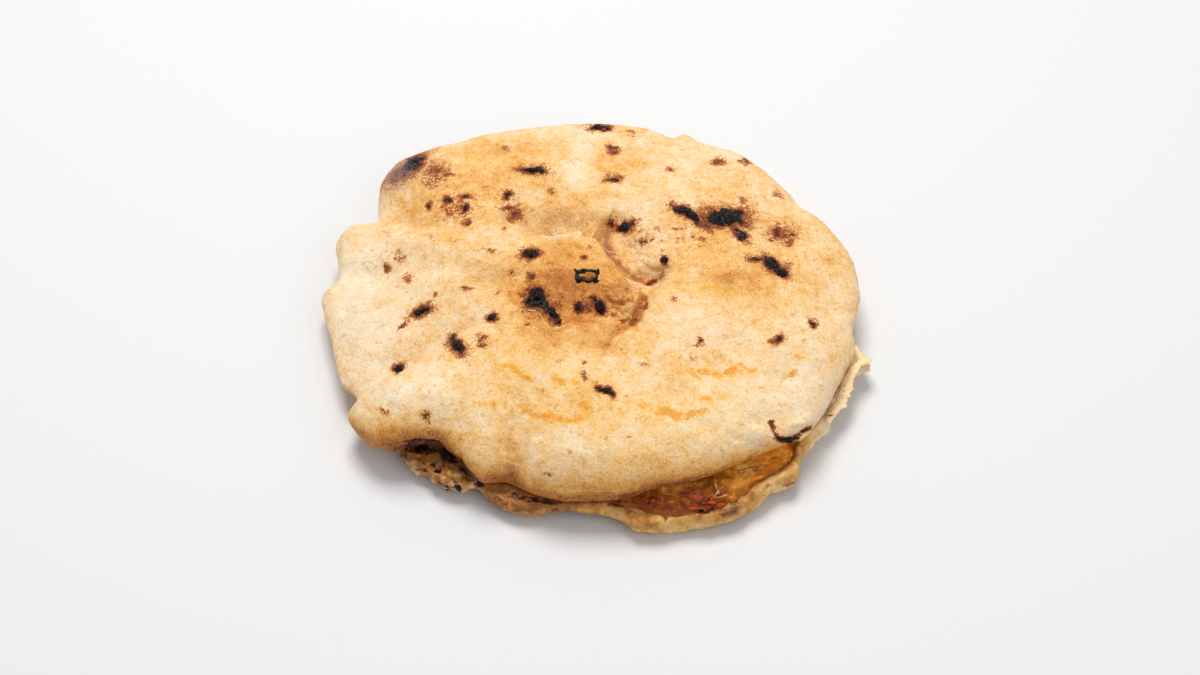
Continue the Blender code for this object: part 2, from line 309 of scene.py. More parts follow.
def upper_under(radius, angle):
    """The underside of the upper leaf: level over the filling, then down towards the lower leaf."""
    left = 1 - ease(0.92, 1.12, radius / around(FILLING_OUTLINE, angle))
    clear = FILLING_FLOOR + FILLING_EDGE + FILLING_THICKNESS + RESTING_GAP
    over_filling = LEAF_TOP - DROOP + (clear - LEAF_TOP + DROOP) * left
    past_leaf = ease(1.01, 1.10, radius / around(LOWER_OUTLINE, angle))
    over_leaf = lower_top(radius, angle) + SEAM_GAP - DROOP * past_leaf
    lift = around(RIM_LIFT, angle) * ease(0.74, 0.90, radius / around(UPPER_OUTLINE, angle))
    return np.maximum(over_filling, over_leaf) + lift


def upper_over(reach, angle):
    """The top of the upper leaf at a share of its outline: crown height times sqrt(1 - reach^n)."""
    shoulder = around(SHOULDER_HEIGHT, angle)
    crown = PLATEAU_HEIGHT + (shoulder - PLATEAU_HEIGHT) * ease(0.35, 0.92, reach)
    hem = upper_under(UPPER_TUCK * around(UPPER_OUTLINE, angle), angle)
    widest = hem + around(WIDEST_SHARE, angle) * (shoulder - hem)
    rounding = around(SHOULDER_ROUNDING, angle)
    return widest + (crown - widest) * np.sqrt(np.clip(1 - reach**rounding, 0, 1))


def placed(radius, angle):
    """The x and y of a point at a radius and an angle."""
    return radius * np.cos(np.radians(angle)), radius * np.sin(np.radians(angle))


def stretches(t, rings):
    """How far t has come along each stretch of a section, from 0 before it to 1 after it."""
    ends = np.cumsum((0,) + rings) / sum(rings)
    return [np.clip((t - a) / (b - a), 0, 1) for a, b in zip(ends, ends[1:])]


# %% The section of each piece
UPPER_RINGS, LOWER_RINGS, FILLING_RINGS = (134, 44, 8, 14), (46, 18, 12, 22), (72, 12)


def upper_section(t, angle):
    """The upper leaf: over its dome and rim, in under the rim on a quarter ellipse, and back below."""
    outline = around(UPPER_OUTLINE, angle)
    dome, rim, tuck, below = stretches(t, UPPER_RINGS)
    out = UPPER_SHOULDER * dome * (0.65 + 0.35 * dome)
    out = out + (1 - UPPER_SHOULDER) * np.sin(rim * np.pi / 2)
    tucked = 1 - (1 - UPPER_TUCK) * (1 - np.cos(tuck * np.pi / 2))
    reach = np.select([tuck == 0, below == 0], [out, tucked], UPPER_TUCK * (1 - below) ** 0.6)
    radius = reach * outline
    x, y = placed(radius, angle)
    level = np.stack([x, y, np.zeros_like(x)], axis=-1)
    bent_x = x + layered(level, (1.3, 7.0, 71), (0.6, 3.0, 72))
    bent_y = y + layered(level, (1.3, 7.0, 73), (0.6, 3.0, 74))
    over = upper_over(reach, angle) + top_relief(bent_x, bent_y) * (1 - ease(0.88, 1.0, reach))
    hem = upper_under(UPPER_TUCK * outline, angle)
    side = hem + (upper_over(1.0, angle) - hem) * (1 - np.sin(tuck * np.pi / 2))
    height = np.select([tuck == 0, below == 0], [over, side], upper_under(radius, angle))
    return x, y, height


def lower_section(t, angle):
    """The lower leaf: out over its flat top and lip, round its rim, and back below."""
    flat, rim, tuck, below = stretches(t, LOWER_RINGS)
    inside = LIP_CREST * (1 - (1 - flat) ** 2)
    out = inside + (1 - LIP_CREST) * np.sin(rim * np.pi / 2)
    tucked = 1 - (1 - LOWER_TUCK) * (1 - np.cos(tuck * np.pi / 2))
    reach = np.select([tuck == 0, below == 0], [out, tucked], LOWER_TUCK * (1 - below))
    radius = reach * around(LOWER_OUTLINE, angle)
    top = lower_top(inside * around(LOWER_OUTLINE, angle), angle)
    bottom = around(HEM_LIFT, angle) * ease(0.70, 1.0, np.minimum(reach, LOWER_TUCK))
    widest = bottom + LOWER_WIDEST * (top - bottom)
    over = widest + (top - widest) * np.cos(rim * np.pi / 2)
    under = widest + (bottom - widest) * np.sin(tuck * np.pi / 2)
    height = np.select([tuck == 0, below == 0], [over, under], bottom)
    return *placed(radius, angle), height


# How far the sauce has run out past the filling's own edge, over the lip at the mouth
SAUCE_RUN = [
    (0, 0), (266, 0), (273, 3.0), (279, 6.5), (284, 6.0), (289, 4.2), (293, 3.4), (300, 5.0), (304, 3.0),
    (309, 1.2), (315, 2.6), (318, 4.5), (323, 2.0), (328, 0),
]


def filling_section(t, angle):
    """The filling: its top as far as its edge, where sauce runs over the lip, and its flat floor."""
    over, below = stretches(t, FILLING_RINGS)
    outline = around(FILLING_OUTLINE, angle)
    run = around(SAUCE_RUN, angle)
    share = np.sqrt(over) * (1 - below)
    radius = share * outline + run * ease(0.8, 1.0, share)
    floor = np.maximum(FILLING_FLOOR, lower_top(radius, angle) + 0.05) - 1.3 * ease(0.965, 1.0, share)
    top = np.maximum(filling_top(share * outline, angle), floor + 1.6 * FILLING_EDGE * (1 - 0.9 * share))
    top = np.minimum(top, floor + FILLING_THICKNESS * (1 - ease(0.96, 1.0, share)) + 0.1)
    height = np.where(below == 0, top, floor)
    return *placed(radius, angle), height


# %% [markdown]
# ## From a section to a mesh
#
# A section gives a grid of points: rows of t by stations of the angle. Its slopes along both give the
# direction that the surface faces, and lumps of dough push the points along it. Each row then becomes a
# ring of vertices, and the first and last rows one vertex each. Values that the material needs, such as
# how scorched each point is, go along as attributes of the mesh.

# %% Helpers for grids
# Vertices in a ring of the upper leaf and the filling, and in one of the lower leaf
LEAF_STATIONS, LOWER_STATIONS = 480, 840


def grid_of(section, rings, stations):
    """Points, angles and shares of each stretch of a section, as arrays of rows by stations."""
    shares, angles = np.linspace(0, 1, sum(rings) + 1), np.arange(stations) * 360 / stations
    t, angle = np.meshgrid(shares, angles, indexing="ij")
    return np.stack(section(t, angle), axis=-1), angle, stretches(t, rings)


def facing(points):
    """Unit normals of a grid: the cross product of its slope along t and its slope along the angle."""
    outward = np.gradient(points, axis=0)
    round_it = np.roll(points, -1, axis=1) - np.roll(points, 1, axis=1)
    normal = np.cross(outward, round_it)
    normal[0] = normal[1].mean(axis=0)
    normal[-1] = normal[-2].mean(axis=0)
    return normal / np.maximum(np.linalg.norm(normal, axis=-1, keepdims=True), 1e-12)


def add_piece(name, vertices, faces, finish, fields):
    """A mesh object with its place in its mesh, smooth, with one attribute of numbers for each field."""
    mesh = bpy.data.meshes.new(name)
    mesh.from_pydata((vertices * MM).tolist(), [], [face.tolist() for block in faces for face in block])
    for field, values in fields.items():
        carried = mesh.attributes.new(field, "FLOAT", "POINT")
        carried.data.foreach_set("value", np.asarray(values, np.float32))
    mesh.shade_smooth()
    mesh.materials.append(finish.material)
    piece = bpy.data.objects.new(name, mesh)
    bpy.context.scene.collection.objects.link(piece)
    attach(piece, "root")
    print(name, len(vertices), "vertices,", len(mesh.polygons), "faces")
    return piece


def unrolled(grid):
    """A grid's values in the order of its vertices: one for each pole, and all of the rows between."""
    return np.concatenate([grid[0, :1], grid[1:-1].reshape(-1, *grid.shape[2:]), grid[-1, :1]])


def shell(name, grids, finish, **fields):
    """One piece from closed grids: a grid's rows are rings, and its first and last rows are poles."""
    faces, first = [], 0
    for rows, stations in (points.shape[:2] for points in grids):
        here = np.arange(stations)
        after = (here + 1) % stations
        ring = first + 1 + np.arange(rows - 2)[:, None] * stations
        inner, outer, last = ring[:-1], ring[1:], ring[-1]
        end = first + 1 + (rows - 2) * stations
        between = np.stack([inner + here, outer + here, outer + after, inner + after], -1)
        faces.append(between.reshape(-1, 4))
        faces.append(np.stack([np.full_like(here, first), first + 1 + here, first + 1 + after], -1))
        faces.append(np.stack([np.full_like(here, end), last + after, last + here], -1))
        first = end + 1
    vertices = np.vstack([unrolled(points) for points in grids])
    flat = {field: np.concatenate([unrolled(v) for v in values]) for field, values in fields.items()}
    return add_piece(name, vertices, faces, finish, flat)


# %% [markdown]
# ## Finishes
#
# Every colour below is written as the sRGB value that the eye would pick, and turned into the linear
# numbers that a renderer counts in. A finish is a material that is being built: each of its methods adds
# one node and gives back what comes out of it, so a look reads like a sum of a few terms.

# %% Helpers for materials
# Inputs and the output of a Mix node that mixes colours
FACTOR, FIRST, SECOND, MIXED = 0, 6, 7, 2
# A curve from 0 to 1 that is level at both ends
SOFT = "SMOOTHSTEP"


def linear(colour):
    """An sRGB hex colour as linear RGB with alpha 1: c/12.92 in the dark, ((c+0.055)/1.055)^2.4 above."""
    c = np.array([int(colour[i : i + 2], 16) / 255 for i in (1, 3, 5)])
    c = np.where(c <= 0.04045, c / 12.92, ((c + 0.055) / 1.055) ** 2.4)
    return (*c.tolist(), 1.0)


class Finish:
    """A material that is being built: a method adds a node and returns what comes out of it."""

    def __init__(self, name):
        self.material = bpy.data.materials.new(name)
        self.material.use_nodes = True
        self.tree = self.material.node_tree

    def wire(self, node, values):
        """Sets inputs of a node: a socket becomes a link, and text is an sRGB colour."""
        for socket, value in values.items():
            if isinstance(value, bpy.types.NodeSocket):
                self.tree.links.new(value, node.inputs[socket])
            else:
                node.inputs[socket].default_value = linear(value) if isinstance(value, str) else value

    def add(self, kind, output, values, **settings):
        """Adds a node of a kind, with its settings and inputs."""
        node = self.tree.nodes.new("ShaderNode" + kind)
        for name, value in settings.items():
            setattr(node, name, value)
        self.wire(node, values)
        return node.outputs[output]

    def field(self, name):
        """A value that the mesh carries at each vertex."""
        return self.add("Attribute", "Fac", {}, attribute_name=name)

    def noise(self, size, detail, roughness=0.5):
        """Noise from 0 to 1 with swellings of about the size in mm."""
        place = self.add("TexCoord", "Object", {})
        values = {"Vector": place, "Scale": 1 / (size * MM), "Detail": detail, "Roughness": roughness}
        return self.add("TexNoise", "Fac", values)

    def cells(self, size, feature):
        """A distance in uneven cells of about the size in mm: to their middles (F1) or their edges."""
        values = {"Vector": self.add("TexCoord", "Object", {}), "Scale": 1 / (size * MM)}
        return self.add("TexVoronoi", "Distance", values, feature=feature)

    def total(self, a, b):
        """a + b."""
        return self.add("Math", "Value", {0: a, 1: b}, operation="ADD")

    def scaled(self, value, factor, offset):
        """value * factor + offset."""
        return self.add("Math", "Value", {0: value, 1: factor, 2: offset}, operation="MULTIPLY_ADD")

    def product(self, a, b, clamped=False):
        """a * b, kept between 0 and 1 if it is clamped."""
        return self.add("Math", "Value", {0: a, 1: b}, operation="MULTIPLY", use_clamp=clamped)

    def span(self, value, low, high, to_low=0.0, to_high=1.0, curve="LINEAR"):
        """What lies between low and high, stretched over another span."""
        values = {"Value": value, "From Min": low, "From Max": high, "To Min": to_low, "To Max": to_high}
        return self.add("MapRange", "Result", values, interpolation_type=curve)

    def ramp(self, value, *stops):
        """A colour for each value, from stops of a value and its colour."""
        colour = self.add("ValToRGB", "Color", {"Fac": value})
        elements = colour.node.color_ramp.elements
        for i, (position, shade) in enumerate(stops):
            stop = elements[i] if i < 2 else elements.new(position)
            stop.position = position
            stop.color = linear(shade)
        return colour

    def mix(self, share, first, second, blend="MIX"):
        """The first colour, with a share of the second laid over it or multiplied into it."""
        values = {FACTOR: share, FIRST: first, SECOND: second}
        return self.add("Mix", MIXED, values, data_type="RGBA", blend_type=blend)

    def bump(self, height, strength, depth, onto=None):
        """The way the surface faces with bumps of a depth in mm, added onto other bumps."""
        values = {"Height": height, "Strength": strength, "Distance": depth * MM}
        if onto is not None:
            values["Normal"] = onto
        return self.add("Bump", "Normal", values)

    def shade(self, values):
        """Sets what the material looks like."""
        self.wire(self.tree.nodes["Principled BSDF"], values)
        print("material:", self.material.name)


# %% [markdown]
# ### Scorched flatbread crust
#
# Lepinja is baked on a very hot floor. Its crust is matt and pale, dusted with flour, and it toasts
# first where it stands proud: cream, then gold, then orange brown. Blisters burn through dark brown to
# black, and burnt sugar there is a little glossy. Five attributes carry this. The first says how toasted
# the crust is and picks its colour. It also carries painted shade: the front face, which is turned away
# from the light, the creases and the hollow behind the middle are browned with it. Gold adds streaks of
# brighter yellow. The third is a grey bloom of ash that lies on the burns too, and it also carries
# painted grey shade in the hollows and creases. Scorch is the depth of a burn, and in one crease it is a
# painted dark shade. Freckles says where small dark specks lie thick. Noise from 1 to 16 mm roughens the
# edges of all five, as flour and bubbles do, and drives the bump.

# %% Crust
crust = Finish("scorched_flatbread_crust")
toast, scorch, gold, ash, freckles = map(crust.field, ("toast", "scorch", "gold", "ash", "freckles"))
broad = crust.noise(16, 3.0, 0.6)
patch = crust.noise(5, 4.0, 0.7)
grain = crust.noise(0.9, 4.0, 0.75)
speck = crust.noise(2.2, 2.0)
pores = crust.cells(2.4, "F1")
wrinkles = crust.cells(1.9, "DISTANCE_TO_EDGE")

# How toasted the crust is picks its colour; this also carries painted shade on the front face and in the
# folds
uneven = crust.scaled(broad, 0.8, toast)
uneven = crust.scaled(patch, 1.1, uneven)
uneven = crust.scaled(grain, 1.5, uneven)
baked = crust.ramp(
    crust.span(uneven, 1.10, 2.60),
    (0.0, "#fff0d9"), (0.25, "#fee6c1"), (0.42, "#fbd5a0"), (0.58, "#f6c070"),
    (0.76, "#e6a04a"), (1.0, "#bb6e2e"),
)
streaky = crust.scaled(patch, 4.0, -2.5)
streaky = crust.product(crust.scaled(grain, 3.0, streaky), gold)
streak_colour = crust.ramp(streaky, (0.15, "#ffdc8c"), (0.5, "#fdca60"), (1.0, "#f3a436"))
baked = crust.mix(crust.span(streaky, 0.0, 0.95, 0.0, 0.9), baked, streak_colour)
# A grey bloom of ash. Its colour also paints grey shade in the hollows and creases
powder_and_shade = crust.product(crust.scaled(grain, 3.0, -0.7), ash, clamped=True)
baked = crust.mix(powder_and_shade, baked, "#a88672")

broken = crust.scaled(grain, 1.5, -1.1)
broken = crust.scaled(patch, 0.7, broken)
broken = crust.product(broken, crust.span(scorch, 0.02, 0.22, curve=SOFT))
burnt = crust.total(broken, scorch)
burn_colour = crust.ramp(
    burnt,
    (0.08, "#e5a657"), (0.22, "#cb803a"), (0.38, "#a0572a"), (0.58, "#6c321b"),
    (0.80, "#311a15"), (1.0, "#121011"),
)
skin = crust.mix(crust.span(burnt, 0.03, 0.26, curve=SOFT), baked, burn_colour)
skin = crust.mix(crust.span(powder_and_shade, 0.5, 1.0, 0.0, 0.42), skin, "#94838a")
thick = crust.scaled(freckles, 0.22, speck)
skin = crust.mix(crust.span(thick, 0.58, 0.72, 0.0, 0.42, SOFT), skin, "#e0a850", "MULTIPLY")
skin = crust.mix(crust.span(thick, 0.765, 0.83, 0.0, 0.8, SOFT), skin, "#9c400a", "MULTIPLY")

flaky = crust.product(wrinkles, crust.span(burnt, 0.6, 1.0))
bumps = crust.bump(flaky, 1.0, 2.2)
bumps = crust.bump(grain, 0.75, 0.7, bumps)
bumps = crust.bump(crust.span(pores, 0.05, 0.42, curve=SOFT), 0.35, 0.4, bumps)
bumps = crust.bump(patch, 0.28, 2.0, bumps)
gloss = crust.span(burnt, 0.6, 1.0, 0.72, 0.18)
crust.shade(
    {"Base Color": skin, "Roughness": gloss, "Normal": bumps, "IOR": 1.45, "Specular IOR Level": 0.45}
)

# %% [markdown]
# ### Oil-stained lower crust
#
# The lower leaf is the same dough, but the filling's orange oil has soaked into it. Where it lies
# against the filling it is brown and has a slight shine, and its outer rim is tan. Its attributes are
# toast, ash and scorch, as above, and stain, for the oil. Here toast also carries painted shade in the
# band under the upper leaf's overhang, and painted light on the raised lumps of the flap. Scorch also
# carries a painted shadow along the upper leaf's front edge, and painted shade between the teeth of the
# torn strip.

# %% Lower crust
stained = Finish("oil_stained_flatbread")
toast, ash, scorch, stain = map(stained.field, ("toast", "ash", "scorch", "stain"))
broad = stained.noise(11, 3.0, 0.6)
mottle = stained.noise(3.5, 4.0, 0.65)
grain = stained.noise(1.1, 3.0, 0.6)

patchy = stained.total(stained.total(mottle, broad), toast)
baked = stained.ramp(
    stained.span(patchy, 0.65, 1.35),
    (0.0, "#fae0b2"), (0.3, "#efc681"), (0.55, "#dda655"), (0.8, "#be7d36"), (1.0, "#925a28"),
)
powder_and_shade = stained.product(stained.scaled(grain, 3.5, -1.0), ash, clamped=True)
baked = stained.mix(powder_and_shade, baked, "#8d7163")
soaked = stained.product(stained.scaled(mottle, 1.8, 0.05), stain, clamped=True)
oil_colour = stained.ramp(soaked, (0.0, "#e0a254"), (0.45, "#be7628"), (1.0, "#74400f"))
skin = stained.mix(soaked, baked, oil_colour)
burnt = stained.product(scorch, stained.scaled(stained.total(mottle, grain), 2.6, -1.6))
burn_colour = stained.ramp(burnt, (0.10, "#cf9550"), (0.28, "#9a5c2a"), (0.48, "#522a15"), (0.75, "#1e1412"))
skin = stained.mix(stained.span(burnt, 0.06, 0.26, curve=SOFT), skin, burn_colour)

bumps = stained.bump(grain, 0.35, 0.6)
bumps = stained.bump(mottle, 0.7, 1.8, bumps)
gloss = stained.span(soaked, 0.2, 0.9, 0.66, 0.33)
stained.shade({"Base Color": skin, "Roughness": gloss, "Normal": bumps, "IOR": 1.45})

# %% [markdown]
# ### Fried filling
#
# The filling was cooked soft in orange oil. Its body is olive brown and half clear, red brown where
# pepper lies in it, and bright orange where oil has pooled at the edge. It is wet, so it is the
# glossiest thing here. The attributes red and orange say where those two show, and thin where only a
# film of sauce is left on the bread.

# %% Filling
fried = Finish("fried_filling_in_oil")
red, orange, thin = map(fried.field, ("red", "orange", "thin"))
broad = fried.noise(6, 4.0, 0.65)
mottle = fried.noise(2.2, 4.0, 0.65)
body = fried.ramp(broad, (0.34, "#8a480a"), (0.46, "#b96c12"), (0.56, "#d98c20"), (0.68, "#f6c068"))
pepper = fried.ramp(mottle, (0.34, "#3a1204"), (0.5, "#8f3404"), (0.66, "#d65c0a"))
pool = fried.ramp(mottle, (0.34, "#f87a08"), (0.5, "#ffa01c"), (0.66, "#ffd060"))
colour = fried.mix(orange, fried.mix(red, body, pepper), pool)
film = fried.product(fried.scaled(mottle, 1.2, 0.4), thin, clamped=True)
colour = fried.mix(film, colour, "#94480f")
bumps = fried.bump(broad, 0.5, 3.0, fried.bump(mottle, 0.5, 1.2))
fried.shade(
    {"Base Color": colour, "Roughness": 0.22, "Normal": bumps, "IOR": 1.47, "Specular IOR Level": 0.28}
)

# %% [markdown]
# ## Where the crust is toasted, scorched, creased and painted with shade
#
# The marks are read off the bread. Each is an ellipse in the frame's pixels: across, down, half
# length, half width, clockwise turn in degrees, and how deep the burn is, from golden at 0.25 to black
# at 1. The field of a mark is highest in its middle and falls away on every side, so a black mark gets
# its brown edge and golden halo by itself. Lumps push the ellipses out of shape first. Patches of
# toasting, gold, freckles and ash are listed in the same way, and so are brown and grey painted shade
# along the creases and in the hollows, and the sharp small creases in the folds, which the plain solids
# are too coarse for.

# %% Scorch marks, part by part
FAR_LEFT_MARKS = [
    (413, 164, 12, 6, -38, 1.04), (407, 169, 24, 9, -38, 0.64), (436, 171, 18, 13, 0, 0.42),
    (430, 184, 10, 7, 0, 0.42), (392, 180, 9, 5, -30, 0.5), (449, 173, 5, 4, 0, 0.62),
    (448, 201, 6, 5, 0, 0.72), (465, 197, 8, 4, 0, 0.66), (466, 210, 5, 4, 0, 0.85),
    (466, 223, 5, 3, 0, 0.6), (449, 214, 4, 4, 0, 0.5), (457, 210, 15, 14, 0, 0.30),
    (429, 207, 4, 5, 0, 0.74), (399, 257, 7, 6, 0, 0.45), (385, 267, 4, 5, 0, 0.62),
    (409, 278, 5, 4, 0, 0.52), (433, 237, 8, 7, 0, 0.28), (389, 233, 5, 4, 0, 0.34),
]
FAR_MARKS = [
    (534, 170, 14, 4, 4, 0.95), (508, 196, 6, 6, 35, 0.76), (514, 215, 9, 8, 40, 0.52),
    (508, 208, 8, 2.5, 0, 0.7), (505, 149, 6, 4, 0, 0.36), (551, 191, 7, 6, 0, 0.34),
    (599, 127, 12, 3.5, 0, 0.84), (614, 150, 6, 5, 0, 0.56), (614, 179, 10, 4, 0, 0.66),
    (630, 134, 4, 4, 0, 0.35), (672, 170, 5, 3, 0, 0.5), (718, 162, 6, 4, 0, 0.6), (746, 162, 5, 3, 0, 0.6),
    (505, 229, 3, 3, 0, 0.45),
]
RIGHT_MARKS = [
    (624, 227, 8, 5, -15, 1.0), (613, 224, 5, 4, 0, 0.74), (634, 222, 5, 4, 0, 0.74),
    (624, 227, 15, 9, 0, 0.40), (683, 211, 13, 4.5, 28, 0.98), (694, 218, 9, 5, 35, 0.9),
    (725, 217, 19, 8, 4, 1.16), (735, 216, 10, 8, 0, 1.0), (708, 224, 20, 7, 10, 0.56),
    (742, 236, 9, 5, 35, 0.78), (732, 227, 12, 4, 35, 0.6), (743, 201, 5, 5, 0, 0.5),
    (777, 232, 6, 7, 0, 0.64), (783, 234, 17, 11, 0, 0.46), (771, 239, 3, 3, 0, 0.6),
    (789, 242, 4, 2.5, 0, 0.6), (777, 224, 4, 3, 0, 0.5), (790, 231, 4, 4, 0, 0.5),
    (795, 235, 3, 3, 0, 0.76), (783, 240, 8, 3, 0, 0.4), (758, 259, 10, 3.5, 10, 0.84),
    (771, 263, 10, 4.5, 38, 1.06), (782, 272, 8, 4.5, 38, 0.98), (730, 277, 16, 5, 5, 0.28),
    (786, 264, 7, 5, 0, 0.46), (776, 195, 6, 4, 0, 0.40), (666, 260, 4.5, 4, -30, 0.95),
    (642, 241, 5, 4, 0, 0.66), (658, 229, 4, 2.5, 0, 0.5), (676, 229, 7, 2, 0, 0.5),
    (645, 238, 20, 10, 0, 0.22), (812, 324, 4, 5, -30, 0.72), (812, 322, 8, 8, 0, 0.30),
    (778, 339, 6, 4, -30, 0.72), (700, 342, 4, 4, 0, 0.62), (674, 298, 5, 5, 0, 0.36),
    (695, 360, 4, 3, 0, 0.4), (805, 342, 5, 4, 0, 0.26), (660, 252, 3, 3, 0, 0.35),
    (790, 193, 4, 3, 0, 0.3), (700, 240, 4, 3, 0, 0.3),
]
MIDDLE_MARKS = [
    (531, 254, 8, 5, -12, 0.98), (538, 296, 10, 7, 70, 1.12), (533, 303, 11, 7, 10, 0.95),
    (551, 312, 9, 5, 50, 1.0), (558, 322, 5, 4, 60, 0.8), (542, 304, 22, 14, 25, 0.58),
    (553, 318, 12, 7, 60, 0.60), (579, 308, 6, 7, 20, 0.80), (600, 306, 10, 4.5, 45, 0.98),
    (592, 299, 5, 5, 0, 0.72), (590, 305, 18, 11, 15, 0.50), (530, 277, 5, 6, 0, 0.58),
    (512, 273, 5, 4, 0, 0.48), (584, 258, 5, 2.5, 0, 0.56), (590, 247, 4, 2.5, 0, 0.46),
    (625, 290, 3, 6, 0, 0.3), (578, 288, 7, 5, 0, 0.40), (587, 276, 16, 9, 0, 0.36),
    (553, 265, 5, 4, 0, 0.28), (606, 287, 4, 4, 0, 0.36), (560, 299, 8, 6, 0, 0.34),
]
LEFT_MARKS = [
    (422, 311, 12, 4.5, -25, 0.86), (404, 324, 8, 2, -40, 0.6), (491, 317, 5, 4, 0, 0.86),
    (457, 346, 10, 6, 40, 1.0), (451, 337, 4, 4, 0, 0.76), (482, 338, 7, 5, 0, 0.52),
    (482, 346, 5, 3, 0, 0.62), (399, 368, 5, 4, -30, 0.9), (425, 417, 4, 5, 0, 0.62),
    (430, 431, 4, 7, -30, 0.40), (385, 410, 7, 5, 0, 0.36), (487, 250, 7, 3, 0, 0.36),
    (467, 289, 7, 3, 0, 0.46), (434, 295, 2, 2, 0, 0.6), (527, 324, 5, 2.5, 0, 0.42),
    (415, 345, 8, 4, 0, 0.22), (500, 292, 4, 3, 0, 0.36), (512, 282, 4, 3, 0, 0.3),
]
NEAR_MARKS = [
    (603, 389, 8, 3.5, 18, 0.86), (611, 394, 6, 3, 32, 0.82), (584, 375, 3, 6, 0, 0.52),
    (584, 362, 3, 3, 0, 0.42), (644, 364, 4, 4, 0, 0.36), (547, 476, 5, 3, 0, 0.42),
    (572, 453, 5, 4, 0, 0.28), (627, 437, 5, 3, 0, 0.28), (514, 475, 4, 8, 0, 0.36),
    (500, 486, 14, 4, 0, 0.42), (560, 362, 6, 3, 0, 0.26), (540, 390, 7, 3, 0, 0.26),
    (557, 410, 4, 3, 0, 0.3), (622, 348, 3, 3, 0, 0.26), (563, 425, 3, 3, 0, 0.24),
]
# Half width, depth of burn, and the path of the marks that are lines; the last is painted dark shade in a
# crease
SCORCH_AND_SHADE_LINES = [
    (2.0, 0.62, [(771, 422), (773, 430), (777, 436), (783, 440)]),
    (2.3, 1.10, [(777, 437), (783, 440), (790, 440), (797, 437)]),
    (1.8, 0.72, [(794, 438), (799, 434), (805, 430), (817, 425)]),
    # Painted dark shade in the deepest part of the crease under the bulge
    (3.0, 0.46, [(648, 284), (655, 281)]),
]
# The same for lines of brown painted shade along the creases and folds, and beside the torn strip
BROWN_CREASE_SHADE_LINES = [
    (3.2, 0.95, [(612, 228), (608, 236), (607, 247), (612, 255), (618, 262)]),
    (3.0, 0.55, [(618, 262), (628, 273), (638, 280), (650, 284)]),
    (4.5, 0.85, [(642, 300), (639, 313), (632, 323)]),
    (4.5, 0.40, [(632, 323), (620, 331), (610, 340), (605, 348)]),
    (3.0, 0.30, [(604, 299), (618, 303), (632, 299)]),
    (3.0, 0.12, [(509, 214), (523, 224), (534, 231), (546, 235)]),
    (3.0, 0.25, [(584, 234), (598, 240), (607, 248)]),
    (3.0, 0.25, [(551, 316), (559, 328), (570, 322), (595, 317)]),
    (2.0, 0.25, [(847, 368), (838, 388), (833, 402), (826, 414), (820, 424)]),
    (4.0, 0.10, [(512, 440), (512, 462), (509, 480)]),
]
# Broad soft patches of toasting, gold above 0 and pale below; one of them is painted shade in a hollow
TOAST_AND_SHADE_PATCHES = [
    (500, 172, 62, 26, 0, 0.36), (440, 215, 50, 32, 0, 0.26), (566, 280, 60, 36, 0, 0.74),
    (545, 304, 36, 22, 0, 0.28), (500, 148, 40, 12, 0, 0.22), (720, 230, 70, 40, 0, 0.28),
    (620, 160, 36, 34, 0, 0.22), (565, 340, 70, 22, 0, 0.36), (570, 400, 90, 22, 0, 0.16),
    (690, 372, 80, 20, 0, 0.04), (720, 285, 60, 26, 0, 0.28), (800, 270, 50, 60, 0, 0.14),
    (612, 296, 34, 22, 0, 0.22), (728, 277, 22, 7, 0, 0.34), (724, 292, 14, 5, 0, 0.22),
    (450, 330, 50, 30, 0, 0.08), (500, 355, 34, 20, 0, 0.14), (580, 162, 12, 30, 15, -0.26),
    # The first patch here is painted shade in the hollow behind the middle
    (560, 214, 50, 16, 0, 0.42), (365, 300, 40, 70, 0, -0.28), (420, 395, 60, 28, 0, -0.14),
    (800, 400, 50, 36, 0, -0.20), (486, 274, 26, 13, 0, 0.22), (640, 205, 18, 14, 0, -0.22),
    (640, 258, 20, 13, 0, -0.16), (625, 325, 10, 12, 0, 0.20), (720, 420, 60, 14, 0, -0.14),
    (560, 244, 40, 6, 3, 0.16), (440, 440, 40, 10, 0, 0.22), (385, 432, 30, 8, 0, 0.25),
    (610, 405, 120, 30, 3, 0.10), (700, 320, 50, 12, 0, -0.10),
]
GOLDEN_STREAKS = [
    (610, 405, 130, 36, 3, 0.22), (723, 371, 32, 5, -8, 0.46), (672, 413, 13, 4, 20, 0.44),
    (692, 413, 14, 4, -15, 0.44), (643, 404, 7, 4, 0, 0.42), (705, 398, 12, 4, 0, 0.34),
    (520, 372, 16, 5, 20, 0.34), (560, 417, 34, 4, 4, 0.34), (588, 405, 10, 8, 40, 0.3),
    (500, 355, 14, 6, 0, 0.3), (620, 415, 5, 6, 0, 0.3), (627, 436, 5, 3, 0, 0.3),
    (480, 405, 16, 4, 0, 0.26), (655, 372, 12, 4, 10, 0.3), (746, 350, 6, 4, 0, 0.25),
    (560, 380, 14, 5, 0, 0.3), (690, 290, 30, 8, -5, 0.28), (740, 300, 16, 5, 0, 0.28),
    (650, 310, 10, 5, 0, 0.2), (822, 345, 5, 5, 0, 0.2), (791, 374, 8, 4, 0, 0.5), (801, 355, 7, 4, 0, 0.4),
    (804, 343, 5, 4, 0, 0.35), (530, 240, 14, 6, 0, 0.3), (556, 411, 6, 4, 0, 0.4),
    (570, 130, 30, 4, 0, 0.3), (700, 150, 26, 5, 15, 0.3), (480, 160, 18, 8, 0, 0.3),
]
